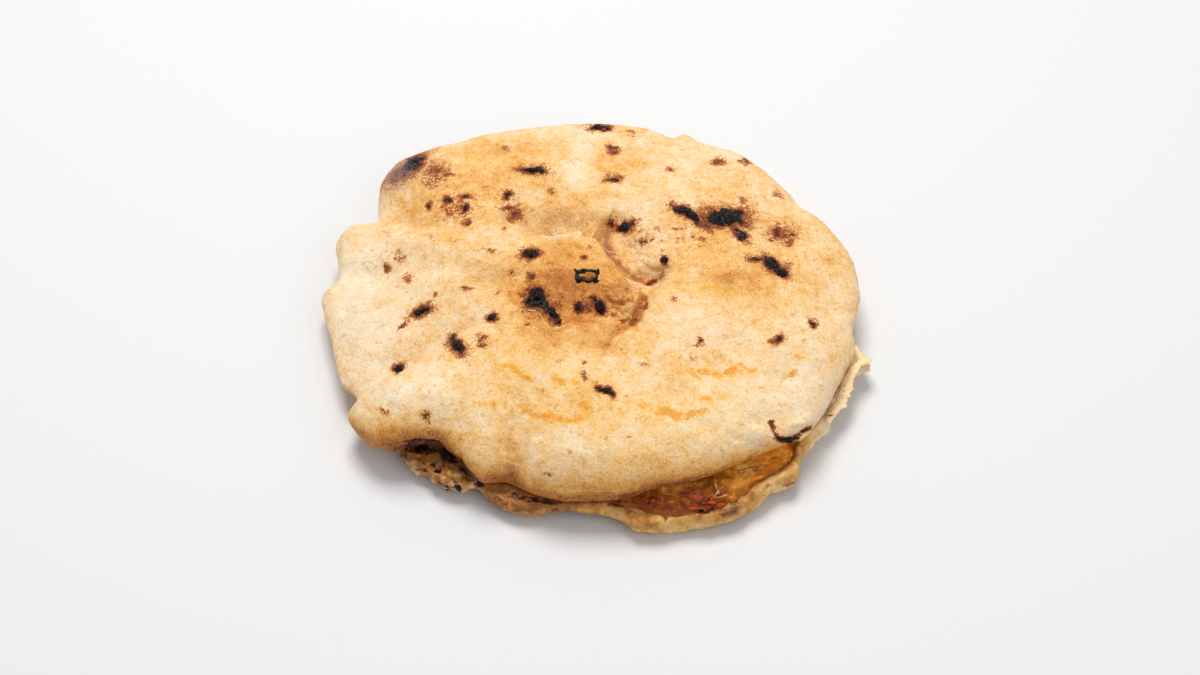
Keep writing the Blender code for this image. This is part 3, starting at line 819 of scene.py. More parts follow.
# The same where oil has browned thin lines
GOLDEN_LINES = [
    (4.8, 0.9, [(684, 366), (690, 373), (697, 380)]),
    (4.5, 1.0, [(700, 371), (712, 374), (722, 377), (732, 372), (742, 366), (755, 370)]),
    (4.5, 1.0, [(658, 412), (668, 410), (674, 417), (684, 419), (694, 414), (704, 411)]),
    (3.8, 0.7, [(666, 402), (670, 410)]),
    (4.8, 0.8, [(640, 402), (648, 407)]),
    (4.2, 0.7, [(703, 397), (711, 400)]),
    (3.8, 0.6, [(720, 398), (729, 400)]),
    (4.5, 0.9, [(798, 356), (805, 357)]),
    (5.4, 1.0, [(788, 374), (795, 373)]),
    (4.5, 0.8, [(637, 353), (645, 355)]),
    (4.5, 0.9, [(508, 366), (516, 372), (528, 378)]),
    (4.5, 0.9, [(524, 412), (538, 416), (550, 414), (562, 420), (578, 418)]),
    (4.2, 0.8, [(580, 402), (588, 410), (598, 412)]),
    (3.8, 0.7, [(700, 290), (716, 287), (730, 290)]),
    (3.8, 0.7, [(782, 303), (796, 301), (806, 303)]),
    (4.2, 0.6, [(552, 378), (562, 384), (576, 384)]),
    (3.8, 0.6, [(474, 402), (484, 406), (496, 404)]),
]
# Where dark freckles lie thick
FRECKLED_PATCHES = [
    (456, 208, 26, 16, 0, 1.0), (700, 239, 26, 9, 0, 0.8), (646, 238, 22, 10, 0, 0.9),
    (782, 234, 20, 13, 0, 0.8), (516, 212, 16, 14, 0, 0.7), (436, 172, 20, 14, 0, 0.6),
    (388, 258, 18, 14, 0, 0.5), (588, 296, 30, 22, 0, 0.5), (540, 300, 30, 22, 0, 0.6),
    (560, 410, 50, 14, 0, 0.35), (720, 216, 40, 16, 0, 0.6), (440, 460, 30, 20, 0, 0.5),
]
# Grey bloom of ash at the far left corner, and painted grey shade in the hollows and creases
ASH_AND_SHADE_PATCHES = [
    (400, 172, 30, 13, -38, 1.4), (562, 219, 50, 13, 3, 0.42), (650, 274, 14, 7, 0, 0.50),
    (486, 276, 24, 10, 0, 0.32), (626, 304, 20, 14, 30, 0.06), (607, 238, 5, 12, 0, 0.30),
    (511, 466, 7, 22, 0, 0.50), (760, 440, 12, 8, 0, 0.25),
]
# Painted grey shade along the creases
GREY_CREASE_SHADE_LINES = [
    (5.0, 0.20, [(641, 298), (638, 311), (631, 322), (619, 330), (609, 339), (604, 348)]),
    (4.0, 0.45, [(612, 226), (607, 238), (608, 248), (616, 259), (626, 270)]),
    (3.8, 0.32, [(626, 270), (638, 280), (650, 284), (660, 278), (666, 268)]),
    (3.4, 0.30, [(606, 288), (614, 291), (624, 290)]),
    (3.4, 0.25, [(614, 292), (618, 299), (624, 304), (628, 312)]),
    (3.6, 0.35, [(507, 212), (523, 224), (534, 231), (546, 235), (559, 237)]),
    (3.4, 0.30, [(540, 318), (553, 329), (562, 328)]),
]
# Depth in mm, half widths below or left and above or right of it in pixels, and the path
CREASES = [
    (
        1.3, 2.8, 6.0,
        [(613, 222), (608, 236), (607, 246), (612, 255), (620, 264), (628, 273), (638, 280), (650, 284)],
    ),
    (1.5, 3.0, 4.0, [(638, 280), (650, 284), (660, 278), (666, 268)]),
    (3.0, 8.0, 2.4, [(640, 290), (644, 300), (641, 314), (634, 323), (622, 331), (612, 340), (607, 349)]),
    (0.9, 2.4, 2.4, [(604, 299), (618, 303), (632, 299), (640, 291)]),
    (2.6, 3.0, 16.0, [(546, 234), (559, 237), (584, 235), (596, 239), (602, 243)]),
    (1.3, 2.4, 9.0, [(507, 212), (523, 224), (534, 231), (546, 235)]),
    (1.2, 2.0, 5.0, [(540, 318), (553, 328), (560, 328), (568, 322), (585, 317), (600, 317), (618, 320)]),
    (0.9, 1.8, 2.6, [(606, 286), (613, 290), (621, 288), (630, 291), (637, 287)]),
    (0.9, 1.8, 1.8, [(613, 290), (616, 297), (622, 302), (625, 310), (631, 314)]),
    (0.8, 1.8, 2.2, [(606, 312), (614, 309), (622, 313), (631, 309)]),
    (0.7, 1.8, 1.8, [(628, 292), (632, 299), (638, 302)]),
    (0.8, 2.0, 2.0, [(640, 262), (648, 268), (658, 270)]),
    (0.7, 2.0, 2.0, [(626, 262), (634, 268), (640, 274)]),
    (0.7, 2.0, 2.0, [(628, 246), (636, 254), (646, 256)]),
    (0.6, 2.2, 2.2, [(560, 214), (566, 228)]),
    (0.5, 2.2, 2.2, [(575, 210), (580, 229)]),
    (1.0, 2.0, 6.0, [(462, 282), (473, 287), (486, 287), (500, 284), (510, 276)]),
    (1.0, 4.5, 7.0, [(512, 432), (511, 445), (513, 462), (510, 478), (505, 488)]),
    (1.6, 4.5, 7.0, [(512, 450), (513, 462), (510, 478), (505, 488)]),
    (0.7, 3.5, 3.5, [(715, 436), (722, 444), (733, 450)]),
    (0.5, 3.0, 3.0, [(738, 440), (748, 448)]),
    (0.6, 3.0, 3.0, [(758, 424), (768, 434)]),
    (1.6, 2.2, 2.2, [(771, 423), (774, 431), (780, 438), (788, 440), (797, 435), (806, 428), (816, 425)]),
    (-1.3, 4.5, 4.5, [(796, 424), (803, 422)]),
]


# %% Carry the marks onto a surface
def ellipse_distance(across, down, mark):
    """How far each place is from a mark's middle, in half lengths along it and half widths across it."""
    x, y, half_length, half_width, turn = mark[:5]
    c, s = np.cos(np.radians(turn)), np.sin(np.radians(turn))
    along = ((across - x) * c + (down - y) * s) / half_length
    beside = ((down - y) * c - (across - x) * s) / half_width
    return np.hypot(along, beside)


def scorched_by(across, down, marks):
    """The strongest burn at each place: depth^1.5 * (0.95 exp(-1.6 d^2) + 0.36 exp(-d^2 / 2.6))."""
    field = np.zeros(across.shape)
    for mark in marks:
        d = ellipse_distance(across, down, mark)
        burn, halo = 0.95 * np.exp(-1.6 * d**2), 0.36 * np.exp(-(d**2) / 2.6)
        field = np.maximum(field, mark[5] ** 1.5 * (burn + halo))
    return field


def patched(across, down, patches):
    """The sum of soft patches: each its strength times exp(-d^2)."""
    return sum(patch[5] * np.exp(-(ellipse_distance(across, down, patch) ** 2)) for patch in patches)


def lined(across, down, lines):
    """The strongest line at each place: its depth times exp(-(distance / half width)^2)."""
    field = np.zeros(across.shape)
    for half_width, depth, path in lines:
        field = np.maximum(field, depth * np.exp(-((distance_to(path, across, down) / half_width) ** 2)))
    return field


def creased(across, down):
    """The depth of the creases: each exp(-(distance / half width)^2), with its own width on each side."""
    depth = np.zeros(across.shape)
    for deepest, below_or_left, above_or_right, path in CREASES:
        away = distance_to(path, across, down)
        depth += deepest * np.exp(-((away / np.where(away > 0, below_or_left, above_or_right)) ** 2))
    return depth


# %% [markdown]
# ## The upper leaf
#
# The leaf is one closed surface. Dough is lumpy at several sizes at once, from swellings a thumb wide to
# bubbles of 2 mm, so four sizes of lumps are pushed out along the surface, and they are higher where the
# folds meet. Where the crust has burnt, it has risen in thin blisters that dried into wrinkles, so the
# scorch field also raises the surface and crumples it. The lower edge at the front was pressed on the
# hot pan, and oil from the filling has stained it.

# %% Shape the upper leaf
# How strongly the lower edge is stained, by angle
FRINGE = [
    (0, 0.05), (200, 0.12), (215, 0.30), (232, 0.42), (246, 0.46), (258, 0.34), (272, 0.50), (292, 0.56),
    (303, 0.30), (314, 0.16), (330, 0.05),
]
# Where the folds meet, and the dough is roughest
WRINKLED_PATCHES = [(624, 303, 26, 20, 30, 1.0), (640, 266, 18, 16, 0, 0.35), (560, 290, 40, 26, 0, 0.2)]
points, angle, (_, rim, tuck, below) = grid_of(upper_section, UPPER_RINGS, LEAF_STATIONS)
normal = facing(points)
on_top = 1 - ease(0.1, 1.0, tuck)
across, down = seen_at(points + CENTRED_BY)
to_eye = eye - points
in_sight = ease(0.0, 0.2, np.sum(normal * to_eye, axis=-1) / np.linalg.norm(to_eye, axis=-1)) * on_top

wrinkled = patched(across, down, WRINKLED_PATCHES) * in_sight
dough = layered(
    points,
    (0.55, 12, 1),
    (0.34 + 0.9 * wrinkled, 5.4, 2),
    (0.20 + 0.4 * wrinkled, 2.9, 3),
    (0.11 + 0.15 * wrinkled, 1.7, 4),
)
dough += 2.4 * wrinkled * (0.4 - abs(lumps(points, 4.0, 13)) - 0.6 * abs(lumps(points, 2.2, 14)))
bent_across = across + layered(points, (3.0, 4.5, 15), (1.6, 2.0, 16))
bent_down = down + layered(points, (2.2, 4.5, 17), (1.3, 2.0, 18))
folded_in = creased(bent_across, bent_down) * in_sight
points = points + normal * (dough * on_top - folded_in)[..., None]
print("deepest crease:", round(float(folded_in.max()), 1), "mm")

# %% Scorch and brown it, and paint shade on its front face and in its folds
across, down = seen_at(points + CENTRED_BY)
bent_across = across + layered(points, (3.2, 3.6, 5), (2.0, 1.7, 6))
bent_down = down + layered(points, (2.6, 3.6, 7), (1.6, 1.7, 8))
half_bent = (across + bent_across) / 2, (down + bent_down) / 2
all_marks = FAR_LEFT_MARKS + FAR_MARKS + RIGHT_MARKS + MIDDLE_MARKS + LEFT_MARKS + NEAR_MARKS
scorched = scorched_by(bent_across, bent_down, all_marks)
scorched = np.maximum(scorched, lined(across, down, SCORCH_AND_SHADE_LINES)) * in_sight
# Toasting, with painted shade in the hollow behind the middle, and brown painted shade along the creases
browned_and_shaded = patched(across, down, TOAST_AND_SHADE_PATCHES) + lined(bent_across, bent_down, BROWN_CREASE_SHADE_LINES)
golden = 0.9 * patched(bent_across, bent_down, GOLDEN_STREAKS) + 0.75 * lined(*half_bent, GOLDEN_LINES)
# Grey ash at the corner, and painted grey shade in the hollows and creases
ashen = patched(across, down, ASH_AND_SHADE_PATCHES) + lined(bent_across, bent_down, GREY_CREASE_SHADE_LINES)
freckled = patched(across, down, FRECKLED_PATCHES)

patchy = 0.5 + layered(points, (0.5, 7, 9), (0.3, 2.6, 10))
above_table = 1 - ease(0.0, 0.5, below)
over_flap = ease(217, 224, angle) * (1 - ease(240, 247, angle))
in_front = ease(195, 225, angle) * (1 - ease(288, 326, angle))
for burnt_edge in (
    around(FRINGE, angle) * ease(0.90, 1.0, rim) * above_table * (0.25 + 0.7 * patchy),
    over_flap * ease(0.92, 1.0, rim) ** 2 * (0.12 + 0.85 * patchy),
    0.34 * ease(0.1, 0.5, below) * patchy,
):
    scorched = np.maximum(scorched, burnt_edge)
# The front face of the rim lies in shade, so it is browned more towards its edge: painted shade
browned_and_shaded = browned_and_shaded * in_sight + in_front * (0.18 * ease(0.1, 0.6, rim) + 0.46 * ease(0.55, 1.0, rim))
browned_and_shaded += 0.8 * around(FRINGE, angle) * ease(0.86, 1.0, rim) * above_table + 0.12 * ease(0.2, 0.8, below)
print("share of the upper crust that is burnt:", round(float((scorched > 0.5).mean()), 3))

# %% Crumple the burnt places, and make the piece
blistered = ease(0.55, 1.05, scorched) * on_top
ridged = 1 - 2 * abs(lumps(points, 2.4, 11))
crumple = blistered * (0.5 + 0.8 * ridged + 0.35 * lumps(points, 1.4, 12))
points = points + normal * crumple[..., None] + CENTRED_BY
upper = shell(
    "upper_crust",
    [points],
    crust,
    toast=[browned_and_shaded],
    scorch=[scorched],
    gold=[golden * in_sight],
    ash=[ashen * in_sight],
    freckles=[freckled * in_sight],
)
upper_surface = (points, facing(points), *seen_at(points))
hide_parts("upper_leaf")

# %% [markdown]
# ## The lower leaf
#
# Only its rim shows, but the whole of it is made. At the front left a flap of it sticks out, torn and
# pitted, and there the surface is broken up with deep lumps. At the right its rim is torn thin and
# ragged, so its outline is frayed there with lumps of 1 to 3 mm.

# %% Shape the lower leaf
# The long thin marks at (500, 499) and (535, 500) are partly burn and partly painted shadow under the upper
# leaf's front edge
FLAP_MARKS = [
    (422, 449, 14, 4.5, 10, 0.92), (448, 456, 10, 5, 40, 1.0), (404, 455, 10, 4, 25, 0.58),
    (464, 471, 8, 3.5, 40, 0.7), (479, 485, 5, 3, 20, 0.8), (438, 470, 6, 4, 0, 0.55),
    (454, 480, 6, 3, 20, 0.5), (420, 470, 5, 3, 20, 0.46), (500, 499, 8, 3, 0, 0.55),
    (515, 494, 5, 3, 0, 0.6), (555, 510, 6, 3, 0, 0.45), (620, 505, 14, 3, 0, 0.5),
    (665, 517, 3, 7, 0, 0.42), (673, 508, 5, 2, 0, 0.7), (704, 512, 6, 2, 5, 0.75),
    (535, 500, 34, 3.5, 6, 0.62), (834, 414, 4, 2, -40, 0.7), (790, 484, 9, 4, -20, 0.36),
    (768, 486, 5, 4, 0, 0.3),
]
# Where oil has soaked in beside the filling
OILY_MARKS = [
    (640, 502, 30, 6, 0, 0.9), (680, 512, 36, 6, 5, 0.9), (730, 511, 18, 7, -15, 0.9),
    (752, 492, 9, 14, 30, 0.7), (638, 514, 26, 8, 0, 0.7), (664, 517, 4, 7, 0, 0.6),
    (700, 524, 8, 5, 0, 0.3), (788, 482, 9, 6, -20, 0.6), (757, 478, 14, 5, -5, 0.8),
    (790, 462, 6, 14, 10, 0.6), (610, 508, 16, 4, 15, 0.4),
]
points, angle, (flat, rim, _, below) = grid_of(lower_section, LOWER_RINGS, LOWER_STATIONS)
normal = facing(points)
edge = ease(0.5, 1.0, flat) * (1 - ease(0.0, 0.4, below))
on_flap = ease(212, 219, angle) * (1 - ease(238, 246, angle))
on_strip = ease(322, 332, angle) * (1 - ease(352, 357, angle))
at_mouth = ease(262, 284, angle) * (1 - ease(322, 330, angle))
dough = layered(points, (0.5 + 0.7 * at_mouth, 8, 21), (0.4 + 0.4 * at_mouth, 4.2, 22), (0.2, 2.2, 23))
torn = layered(points, (0.8, 4.2, 24), (0.9, 2.2, 25), (0.35, 1.3, 35))
points = points + normal * (edge * (dough + 1.2 * on_flap * torn))[..., None]
fray = 1 + on_strip * edge * layered(points, (0.012, 3.0, 26), (0.010, 1.3, 27))
points[..., :2] *= fray[..., None]
points[..., 2] = np.maximum(points[..., 2], 0.0)
print("the frayed outline moves by up to", round(float(abs(fray - 1).max() * 100), 1), "percent")

# %% Stain and scorch it
placed_points = points + CENTRED_BY
across, down = seen_at(placed_points)
bent_across = across + layered(points, (2.0, 3.0, 30), (1.2, 1.5, 31))
bent_down = down + layered(points, (1.6, 3.0, 32), (1.0, 1.5, 33))
radius = np.hypot(points[..., 0], points[..., 1])
outside = radius - UPPER_TUCK * around(UPPER_OUTLINE, angle)
near_filling = radius - around(FILLING_OUTLINE, angle) - around(SAUCE_RUN, angle)
at_seam = 1 - ease(-1.0, 5.0, outside + 1.5 * lumps(points, 5, 35))
at_seam = at_seam * ease(212, 225, angle) * (1 - ease(275, 300, angle))
oily = at_mouth * (1 - ease(-2.0, 3.5, near_filling + 1.5 * lumps(points, 4, 34)))
for soaked_place in (
    0.9 * at_seam,
    on_flap * (0.75 - 0.35 * ease(0.2, 0.9, rim)) * edge,
    scorched_by(bent_across, bent_down, OILY_MARKS) * edge,
):
    oily = np.maximum(oily, soaked_place)

# The flap is darker in its pits, where the torn lumps push in
pits = ease(0.2, 0.9, -torn) * on_flap * edge
hearth = ease(0.15, 0.5, below) * ease(-0.1, 0.6, layered(points, (1.0, 14, 28), (0.5, 6, 29)))
scorched = scorched_by(bent_across, bent_down, FLAP_MARKS)
scorched = np.maximum(scorched, np.maximum(0.75 * pits, 0.42 * hearth))
ashen = 0.45 * on_flap * ease(0.1, 0.7, rim) * edge
# The band behind the lip lies under the upper leaf's overhang and is toasted darker there: painted shade
behind_lip = ease(240, 248, angle) * (1 - ease(262, 276, angle))
# On the flap the lumps that the tearing raised are paler: painted light on them
toasted = (0.30 - 0.6 * ease(0.0, 0.7, torn) - 0.25 * ease(0.6, 1.0, rim)) * on_flap
toasted += 0.28 * behind_lip - 0.42 * on_strip
lower = shell(
    "lower_crust", [placed_points], stained, stain=[oily], scorch=[scorched], toast=[toasted], ash=[ashen]
)
lower_surface = (placed_points, facing(points), across, down)
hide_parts("lower_leaf")

# %% [markdown]
# ## The filling
#
# The filling shows as a crescent at the front right. Its surface is lumpy like anything fried in pieces,
# and its edge has run out over the lip as thin sauce. The places where it is red or orange are read
# off in the same way as the scorch marks.

# %% Shape the filling
RED_MARKS = [
    (655, 506, 10, 3, 0, 0.7), (684, 508, 34, 5, 2, 1.1), (722, 508, 18, 5, -12, 1.0),
    (712, 503, 24, 9, -5, 1.15), (657, 502, 26, 8, -5, 1.15), (690, 494, 14, 7, 20, 1.0),
    (735, 506, 8, 5, 0, 0.6), (672, 492, 12, 4, -10, 0.7), (733, 494, 5, 4, 0, 0.6),
    (560, 503, 60, 3, 0, 0.8), (620, 502, 20, 3, 0, 0.8),
]
ORANGE_MARKS = [
    (786, 456, 18, 20, 20, 1.4), (757, 478, 14, 6, 0, 1.1), (776, 470, 7, 4, 0, 0.7),
    (742, 502, 8, 7, 0, 0.6), (672, 499, 8, 4, 0, 0.5),
]
points, angle, (over, below) = grid_of(filling_section, FILLING_RINGS, LEAF_STATIONS)
cooked = layered(points, (1.3, 7.0, 41), (0.9, 3.4, 42), (0.35, 1.7, 43))
cooked = cooked * ease(0.3, 0.6, over) * (1 - ease(0.9, 1.0, over))
points = points + facing(points) * cooked[..., None]
placed_points = points + CENTRED_BY
across, down = seen_at(placed_points)
bent_across = across + 3 * lumps(points, 4.0, 44)
bent_down = down + 2 * lumps(points, 4.0, 45)
reddish = np.clip(1.2 * scorched_by(bent_across, bent_down, RED_MARKS), 0, 1)
orangish = np.clip(1.2 * scorched_by(bent_across, bent_down, ORANGE_MARKS), 0, 1)
thinning = np.sqrt(over) + 0.02 * lumps(points, 3.0, 46)
filmy = 0.8 * ease(0.955, 0.995, thinning) * (1 - ease(0.0, 0.2, below))
filling = shell("cooked_filling", [placed_points], fried, red=[reddish], orange=[orangish], thin=[filmy])
filling_surface = (placed_points, facing(points), across, down)
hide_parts("filling")

# %% [markdown]
# ## Small pieces: a torn strip, a burst blister, shreds and bits
#
# These are too small for the plain model. A strip of crust has torn loose at the right, a blister in the
# middle has burst and left a ring of char round a bead of amber syrup, thin shreds hang in the mouth,
# and fried and charred bits lie on the filling and round the flap. Strips, rings and shreds are all one
# shape, an uneven tube along a path, and bits and flakes are thin skins. Each is put on the crust where
# it is seen, by looking up the point of a finished surface that shows at that pixel.

# %% Helpers for small pieces
# Rings from the top to the closed underside of a skin, and vertices in a ring
SKIN_RINGS, SKIN_STATIONS = 37, 48
# How far below the surface a skin is closed, and how far apart the lumps of two seeds are taken, in mm
SKIN_DEPTH, SEED_STEP = 0.4, 7.3
# How many grid points share in a point looked up, and how far round it they are looked for, in pixels
NEIGHBOURS, MARGIN = 6, 5


def spot(surface, x, y):
    """The point of a surface that is seen at a pixel, and the way it faces."""
    points, normal, across, down = surface
    facing_eye = np.sum(normal * (eye - points), axis=-1) > 0
    miss = np.where(facing_eye, (across - x) ** 2 + (down - y) ** 2, np.inf)
    nearest = np.unravel_index(np.argmin(miss), miss.shape)
    return points[nearest], normal[nearest]


def smooth_path(corners, count):
    """Points spaced evenly by share along a path, each coordinate a cubic through the corners."""
    corners = np.asarray(corners, float)
    s = np.linspace(0, len(corners) - 1, count)
    i = np.minimum(s.astype(int), len(corners) - 2)
    share = (s - i)[:, None]
    slope = np.gradient(corners, axis=0)
    return cubic(share, corners[i], corners[i + 1], slope[i], slope[i + 1])


def tube(corners, wide, high, seed, count=40, sides=12, unevenness=0.25):
    """A tube along a smooth path with pointed ends: an ellipse that is wide to the side and high upwards.

    Its size swells as the fourth root of sin along the path, and lumps of its own size make it uneven.
    """
    centre = smooth_path(corners, count)[:, None]
    ahead = np.gradient(centre, axis=0)
    ahead /= np.linalg.norm(ahead, axis=-1, keepdims=True)
    side = np.cross(ahead, [0.0, 0.0, 1.0])
    side /= np.linalg.norm(side, axis=-1, keepdims=True)
    up = np.cross(side, ahead)
    swell = np.sin(np.linspace(0, np.pi, count))[:, None, None].clip(0) ** 0.25
    turn = (np.arange(sides) * 2 * np.pi / sides)[None, :, None]
    around_it = wide * np.cos(turn) * side + high * np.sin(turn) * up
    uneven = 1 + unevenness * lumps(centre + 2 * around_it, 2.2 * max(wide, high), seed)[..., None]
    return centre + swell * uneven * around_it


def seen_on(surface, x, y):
    """Points of a surface, and its facings, at many pixels: weighted means of the nearest grid points."""
    points, normal, across, down = surface
    near = np.sum(normal * (eye - points), axis=-1) > 0
    near &= abs(across - x.mean()) < np.ptp(x) / 2 + MARGIN
    near &= abs(down - y.mean()) < np.ptp(y) / 2 + MARGIN
    miss = (x[..., None] - across[near]) ** 2 + (y[..., None] - down[near]) ** 2 + 0.05
    nearest = np.argsort(miss, axis=-1)[..., :NEIGHBOURS]
    weight = 1 / np.take_along_axis(miss, nearest, -1)
    weight = (weight / weight.sum(axis=-1, keepdims=True))[..., None]
    return (points[near][nearest] * weight).sum(axis=-2), (normal[near][nearest] * weight).sum(axis=-2)


def skin_on(surface, x, y, half_length, half_width, turn, seed, dome, crumple):
    """A thin closed skin on a surface where it is seen, such as flaky char or a drop.

    In the frame it is an ellipse with an uneven outline. At a share r of the outline its top stands
    dome * (1 - r^2) above the surface, plus crumpled ridges, and dips in at its edge. It is closed a
    little below the surface.
    """
    turns = np.arange(SKIN_STATIONS) * 2 * np.pi / SKIN_STATIONS
    u, round_it = np.meshgrid(np.linspace(0, 1, SKIN_RINGS), turns, indexing="ij")
    r = np.sin(np.pi * u)
    rim = np.stack([np.cos(round_it), np.sin(round_it), np.full_like(r, SEED_STEP * seed)], -1)
    out = r * (1 + layered(rim, (0.45, 0.9, 50), (0.25, 0.35, 51)))
    c, s = np.cos(np.radians(turn)), np.sin(np.radians(turn))
    along, beside = half_length * out * rim[..., 0], half_width * out * rim[..., 1]
    on_it, up = seen_on(surface, x + along * c - beside * s, y + along * s + beside * c)
    ridged = 0.5 - abs(lumps(on_it, 2.1, 65)) - 0.7 * abs(lumps(on_it, 1.0, 66))
    top = dome * (1 - r**2) + crumple * ridged * (1 - r**4) - 0.15 * r**4
    return on_it + np.where(u <= 0.5, top, -SKIN_DEPTH)[..., None] * up


# %% Char, syrup and shreds
char = Finish("flaky_char")
grain = char.noise(1.2, 3.0)
shade = char.ramp(grain, (0.42, "#0b090a"), (0.6, "#1b1211"), (0.78, "#44241a"))
bumps = char.bump(grain, 0.8, 0.8)
char.shade({"Base Color": shade, "Roughness": 0.24, "Normal": bumps, "Specular IOR Level": 0.20})

syrup = Finish("amber_syrup")
syrup.shade({"Base Color": "#b86a08", "Roughness": 0.35, "IOR": 1.48})

melted = Finish("melted_shreds")
shade = melted.ramp(melted.noise(2.5, 2.0), (0.35, "#a8661e"), (0.5, "#cf9442"), (0.65, "#e9c07a"))
melted.shade({"Base Color": shade, "Roughness": 0.35})

# %% The torn strip
# Its path in the frame, and how far each place of it stands above the crust, in mm
STRIP = [(868, 359), (862, 366), (853, 374), (847, 384), (843, 395), (838, 406), (832, 415), (827, 424)]
STRIP_LIFT = [1.5, 2.5, 3.0, 2.8, 2.4, 2.0, 1.6, 1.0]
STRIP_SIDES = 28
# Which way its ragged teeth point
TEETH = np.array([1.1, -0.5, 0.2])
strip_path = np.array([spot(lower_surface, x, y)[0] for x, y in STRIP])
strip_path[:, 2] += STRIP_LIFT
strip = tube(strip_path, 2.0, 0.6, 61, count=160, sides=STRIP_SIDES, unevenness=0.5)
outer_side = (0.5 - 0.5 * np.cos(np.arange(STRIP_SIDES) * 2 * np.pi / STRIP_SIDES))[None, :, None]
teeth = abs(lumps(strip, 1.7, 62)) + 0.5 * abs(lumps(strip, 0.8, 63))
strip += outer_side * teeth[..., None] * TEETH
blank = np.zeros(strip.shape[:2])
# The notches between the strip's teeth are darkened: painted shade in them
shaded_notches = 0.34 * (teeth < 0.09)
torn_strip = shell(
    "torn_strip", [strip], stained, toast=[blank - 0.36], stain=[blank], scorch=[shaded_notches]
)

# %% The burst blister
BLISTER = (587, 276)
RING_CHUNKS = [
    (577, 272, 3.5, 2.4, 40), (597, 272, 4, 2.4, -30), (579, 281, 4, 2.4, -20), (595, 281, 4, 2.2, 30),
]
turn = np.linspace(0, 2 * np.pi, 13)
squarish = (abs(np.cos(turn)) ** 3 + abs(np.sin(turn)) ** 3) ** (-1 / 3)
ring_across = BLISTER[0] + 10 * squarish * np.cos(turn)
ring_down = BLISTER[1] + 5 * squarish * np.sin(turn)
ring_path, up = seen_on(upper_surface, ring_across, ring_down)
ring = tube(ring_path + 0.3 * up, 0.8, 0.7, 64, count=90, sides=16, unevenness=0.9)
bead = skin_on(upper_surface, *BLISTER, 8, 4.2, 0, seed=3, dome=0.8, crumple=0.0)
chunks = [
    skin_on(upper_surface, *chunk, seed=80 + i, dome=0.9, crumple=0.8) for i, chunk in enumerate(RING_CHUNKS)
]
blister_ring = shell("blister_ring", [ring, *chunks], char)
syrup_bead = shell("syrup_bead", [bead], syrup)

# %% Flaky char
# Across, down, half length, half width and turn, in the frame
CHAR_FLAKES = [
    (727, 217, 18, 7.5, 5), (714, 220, 8, 4, 0), (690, 214, 13, 4, 30), (742, 234, 7, 4, 35),
    (536, 295, 8, 7, 70), (541, 303, 9, 5, 10), (552, 313, 8, 4, 50), (600, 307, 7, 3.5, 45),
    (624, 227, 7, 4, -10), (773, 265, 7, 3.5, 38), (783, 273, 6, 3, 38), (457, 345, 7, 4.5, 45),
    (531, 254, 6, 3.5, -12), (606, 391, 7, 2.5, 25), (491, 317, 3.5, 3, 0), (666, 260, 3, 3, 0),
    (422, 311, 8, 3, -25), (399, 368, 4, 3, -30), (534, 170, 9, 2.5, 4), (414, 161, 9, 3, -38),
    (787, 439, 8, 2.2, 0),
]
flakes = [
    skin_on(upper_surface, *flake, seed=i, dome=0.35, crumple=1.0) for i, flake in enumerate(CHAR_FLAKES)
]
char_flakes = shell("char_flakes", flakes, char)

# %% Shreds in the mouth
# Radius in mm, and path in the frame
SHREDS = [
    (0.42, [(715, 478), (716, 485), (719, 492)]),
    (0.38, [(711, 494), (718, 497), (727, 494)]),
    (0.34, [(722, 488), (717, 494), (712, 500)]),
    (0.50, [(738, 474), (746, 470), (755, 467), (762, 466)]),
    (0.40, [(742, 478), (750, 474), (757, 472)]),
]
shreds = []
for i, (radius, path) in enumerate(SHREDS):
    # 1 mm along the facing, and 0.2 mm down again
    lying = np.array([sum(spot(filling_surface, x, y)) for x, y in path]) - [0, 0, 0.2]
    shreds.append(tube(lying, radius, radius, 70 + i, count=24, sides=8, unevenness=0.4))
shred_piece = shell("melted_shreds", shreds, melted)

# %% Fried bits and charred bits
# Across, down, half length, half width and turn in the frame, then how red and how orange
FRIED_BITS = [
    (652, 501, 6, 3, -10, 0.9, 0.0), (671, 498, 7, 3, 10, 0.7, 0.0), (690, 491, 6, 4, 40, 0.8, 0.0),
    (708, 503, 9, 4, -5, 1.0, 0.0), (722, 505, 8, 4, -15, 0.9, 0.0), (733, 499, 6, 4, -40, 0.5, 0.2),
    (702, 482, 9, 4, -25, 0.1, 0.0), (727, 480, 9, 5, -20, 0.0, 0.0), (748, 473, 11, 5, -25, 0.0, 0.1),
    (762, 468, 7, 4, -10, 0.0, 0.3), (775, 460, 7, 4, -30, 0.1, 0.4), (787, 457, 6, 7, 0, 0.0, 0.9),
    (757, 479, 7, 2.5, -20, 0.0, 0.9), (697, 508, 8, 2.5, 0, 0.8, 0.1),
]
bits = [
    skin_on(filling_surface, *bit[:5], seed=30 + i, dome=0.9, crumple=0.5) for i, bit in enumerate(FRIED_BITS)
]
reds, oranges = (
    [np.full(grid.shape[:2], bit[column]) for grid, bit in zip(bits, FRIED_BITS)] for column in (5, 6)
)
fried_bits = shell("fried_bits", bits, fried, red=reds, orange=oranges)

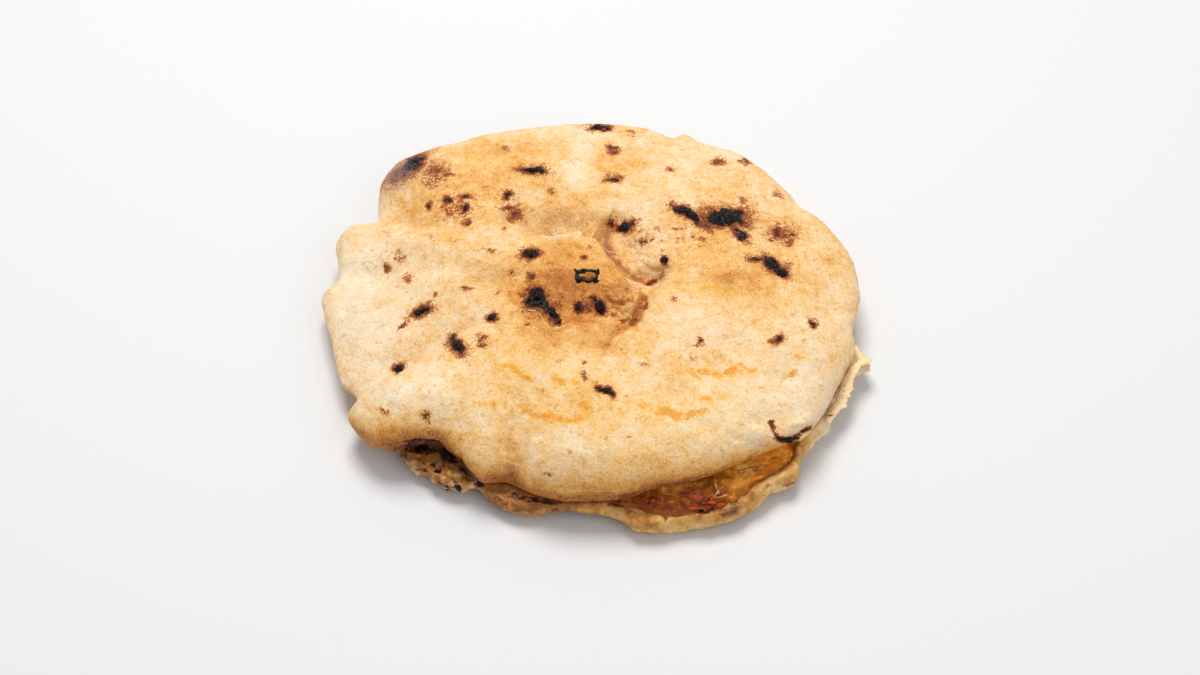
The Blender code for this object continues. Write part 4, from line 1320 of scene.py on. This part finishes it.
CHARRED_BITS = [(701, 511, 6, 1.6, 8), (711, 509, 4, 1.4, -20)]
FLAP_BITS = [
    (388, 452, 4, 2.5, 20), (459, 488, 5, 2.5, 35), (448, 492, 4, 2, 20), (480, 484, 5, 2.5, 20),
    (438, 472, 4, 2, 0), (835, 412, 2.5, 1.5, -60),
]
crumbs = [
    skin_on(filling_surface, *bit, seed=60 + i, dome=0.5, crumple=0.6) for i, bit in enumerate(CHARRED_BITS)
]
crumbs += [
    skin_on(lower_surface, *bit, seed=63 + i, dome=0.5, crumple=0.9) for i, bit in enumerate(FLAP_BITS)
]
charred_bits = shell("charred_bits", crumbs, char)

# %% [markdown]
# ## Table and light
#
# The table is plain and nearly white. One broad light stands high behind the bread, as a window would,
# and a weak one at the front right lifts the shadows. The sky fills the rest. The floor and the lights
# aren't part of the bread.

# %% Table
TABLE_HALF = 3.0
tabletop = Finish("plain_pale_table")
tabletop.shade({"Base Color": "#e6e7e9", "Roughness": 0.7})
floor_mesh = bpy.data.meshes.new("table")
corners = [(x * TABLE_HALF, y * TABLE_HALF, 0) for x, y in ((-1, -1), (1, -1), (1, 1), (-1, 1))]
floor_mesh.from_pydata(corners, [], [(0, 1, 2, 3)])
floor_mesh.materials.append(tabletop.material)
floor = bpy.data.objects.new("table", floor_mesh)
bpy.context.scene.collection.objects.link(floor)
print("table:", 2 * TABLE_HALF, "m across")

# %% Lights
# Name, place in metres, size in metres, power in watts and colour
LIGHTS = [
    ("window", (-0.12, 0.62, 1.45), 0.70, 18.8, "#fffdf8"),
    ("reflector", (0.9, -0.9, 1.1), 1.20, 4.5, "#ffffff"),
]
for name, where, size, watts, colour in LIGHTS:
    light = bpy.data.objects.new(name, bpy.data.lights.new(name, "AREA"))
    light.data.size = size
    light.data.energy = watts
    light.data.color = linear(colour)[:3]
    light.location = where
    light.rotation_euler = (Vector((0, 0, 0.02)) - light.location).to_track_quat("-Z", "Y").to_euler()
    bpy.context.scene.collection.objects.link(light)
    print("light:", name, watts, "W")
sky = bpy.data.worlds.new("sky")
sky.use_nodes = True
background = sky.node_tree.nodes["Background"].inputs
background["Color"].default_value = linear("#fbfcff")
background["Strength"].default_value = 0.42
bpy.context.scene.world = sky
bpy.context.scene.view_settings.view_transform = "Standard"
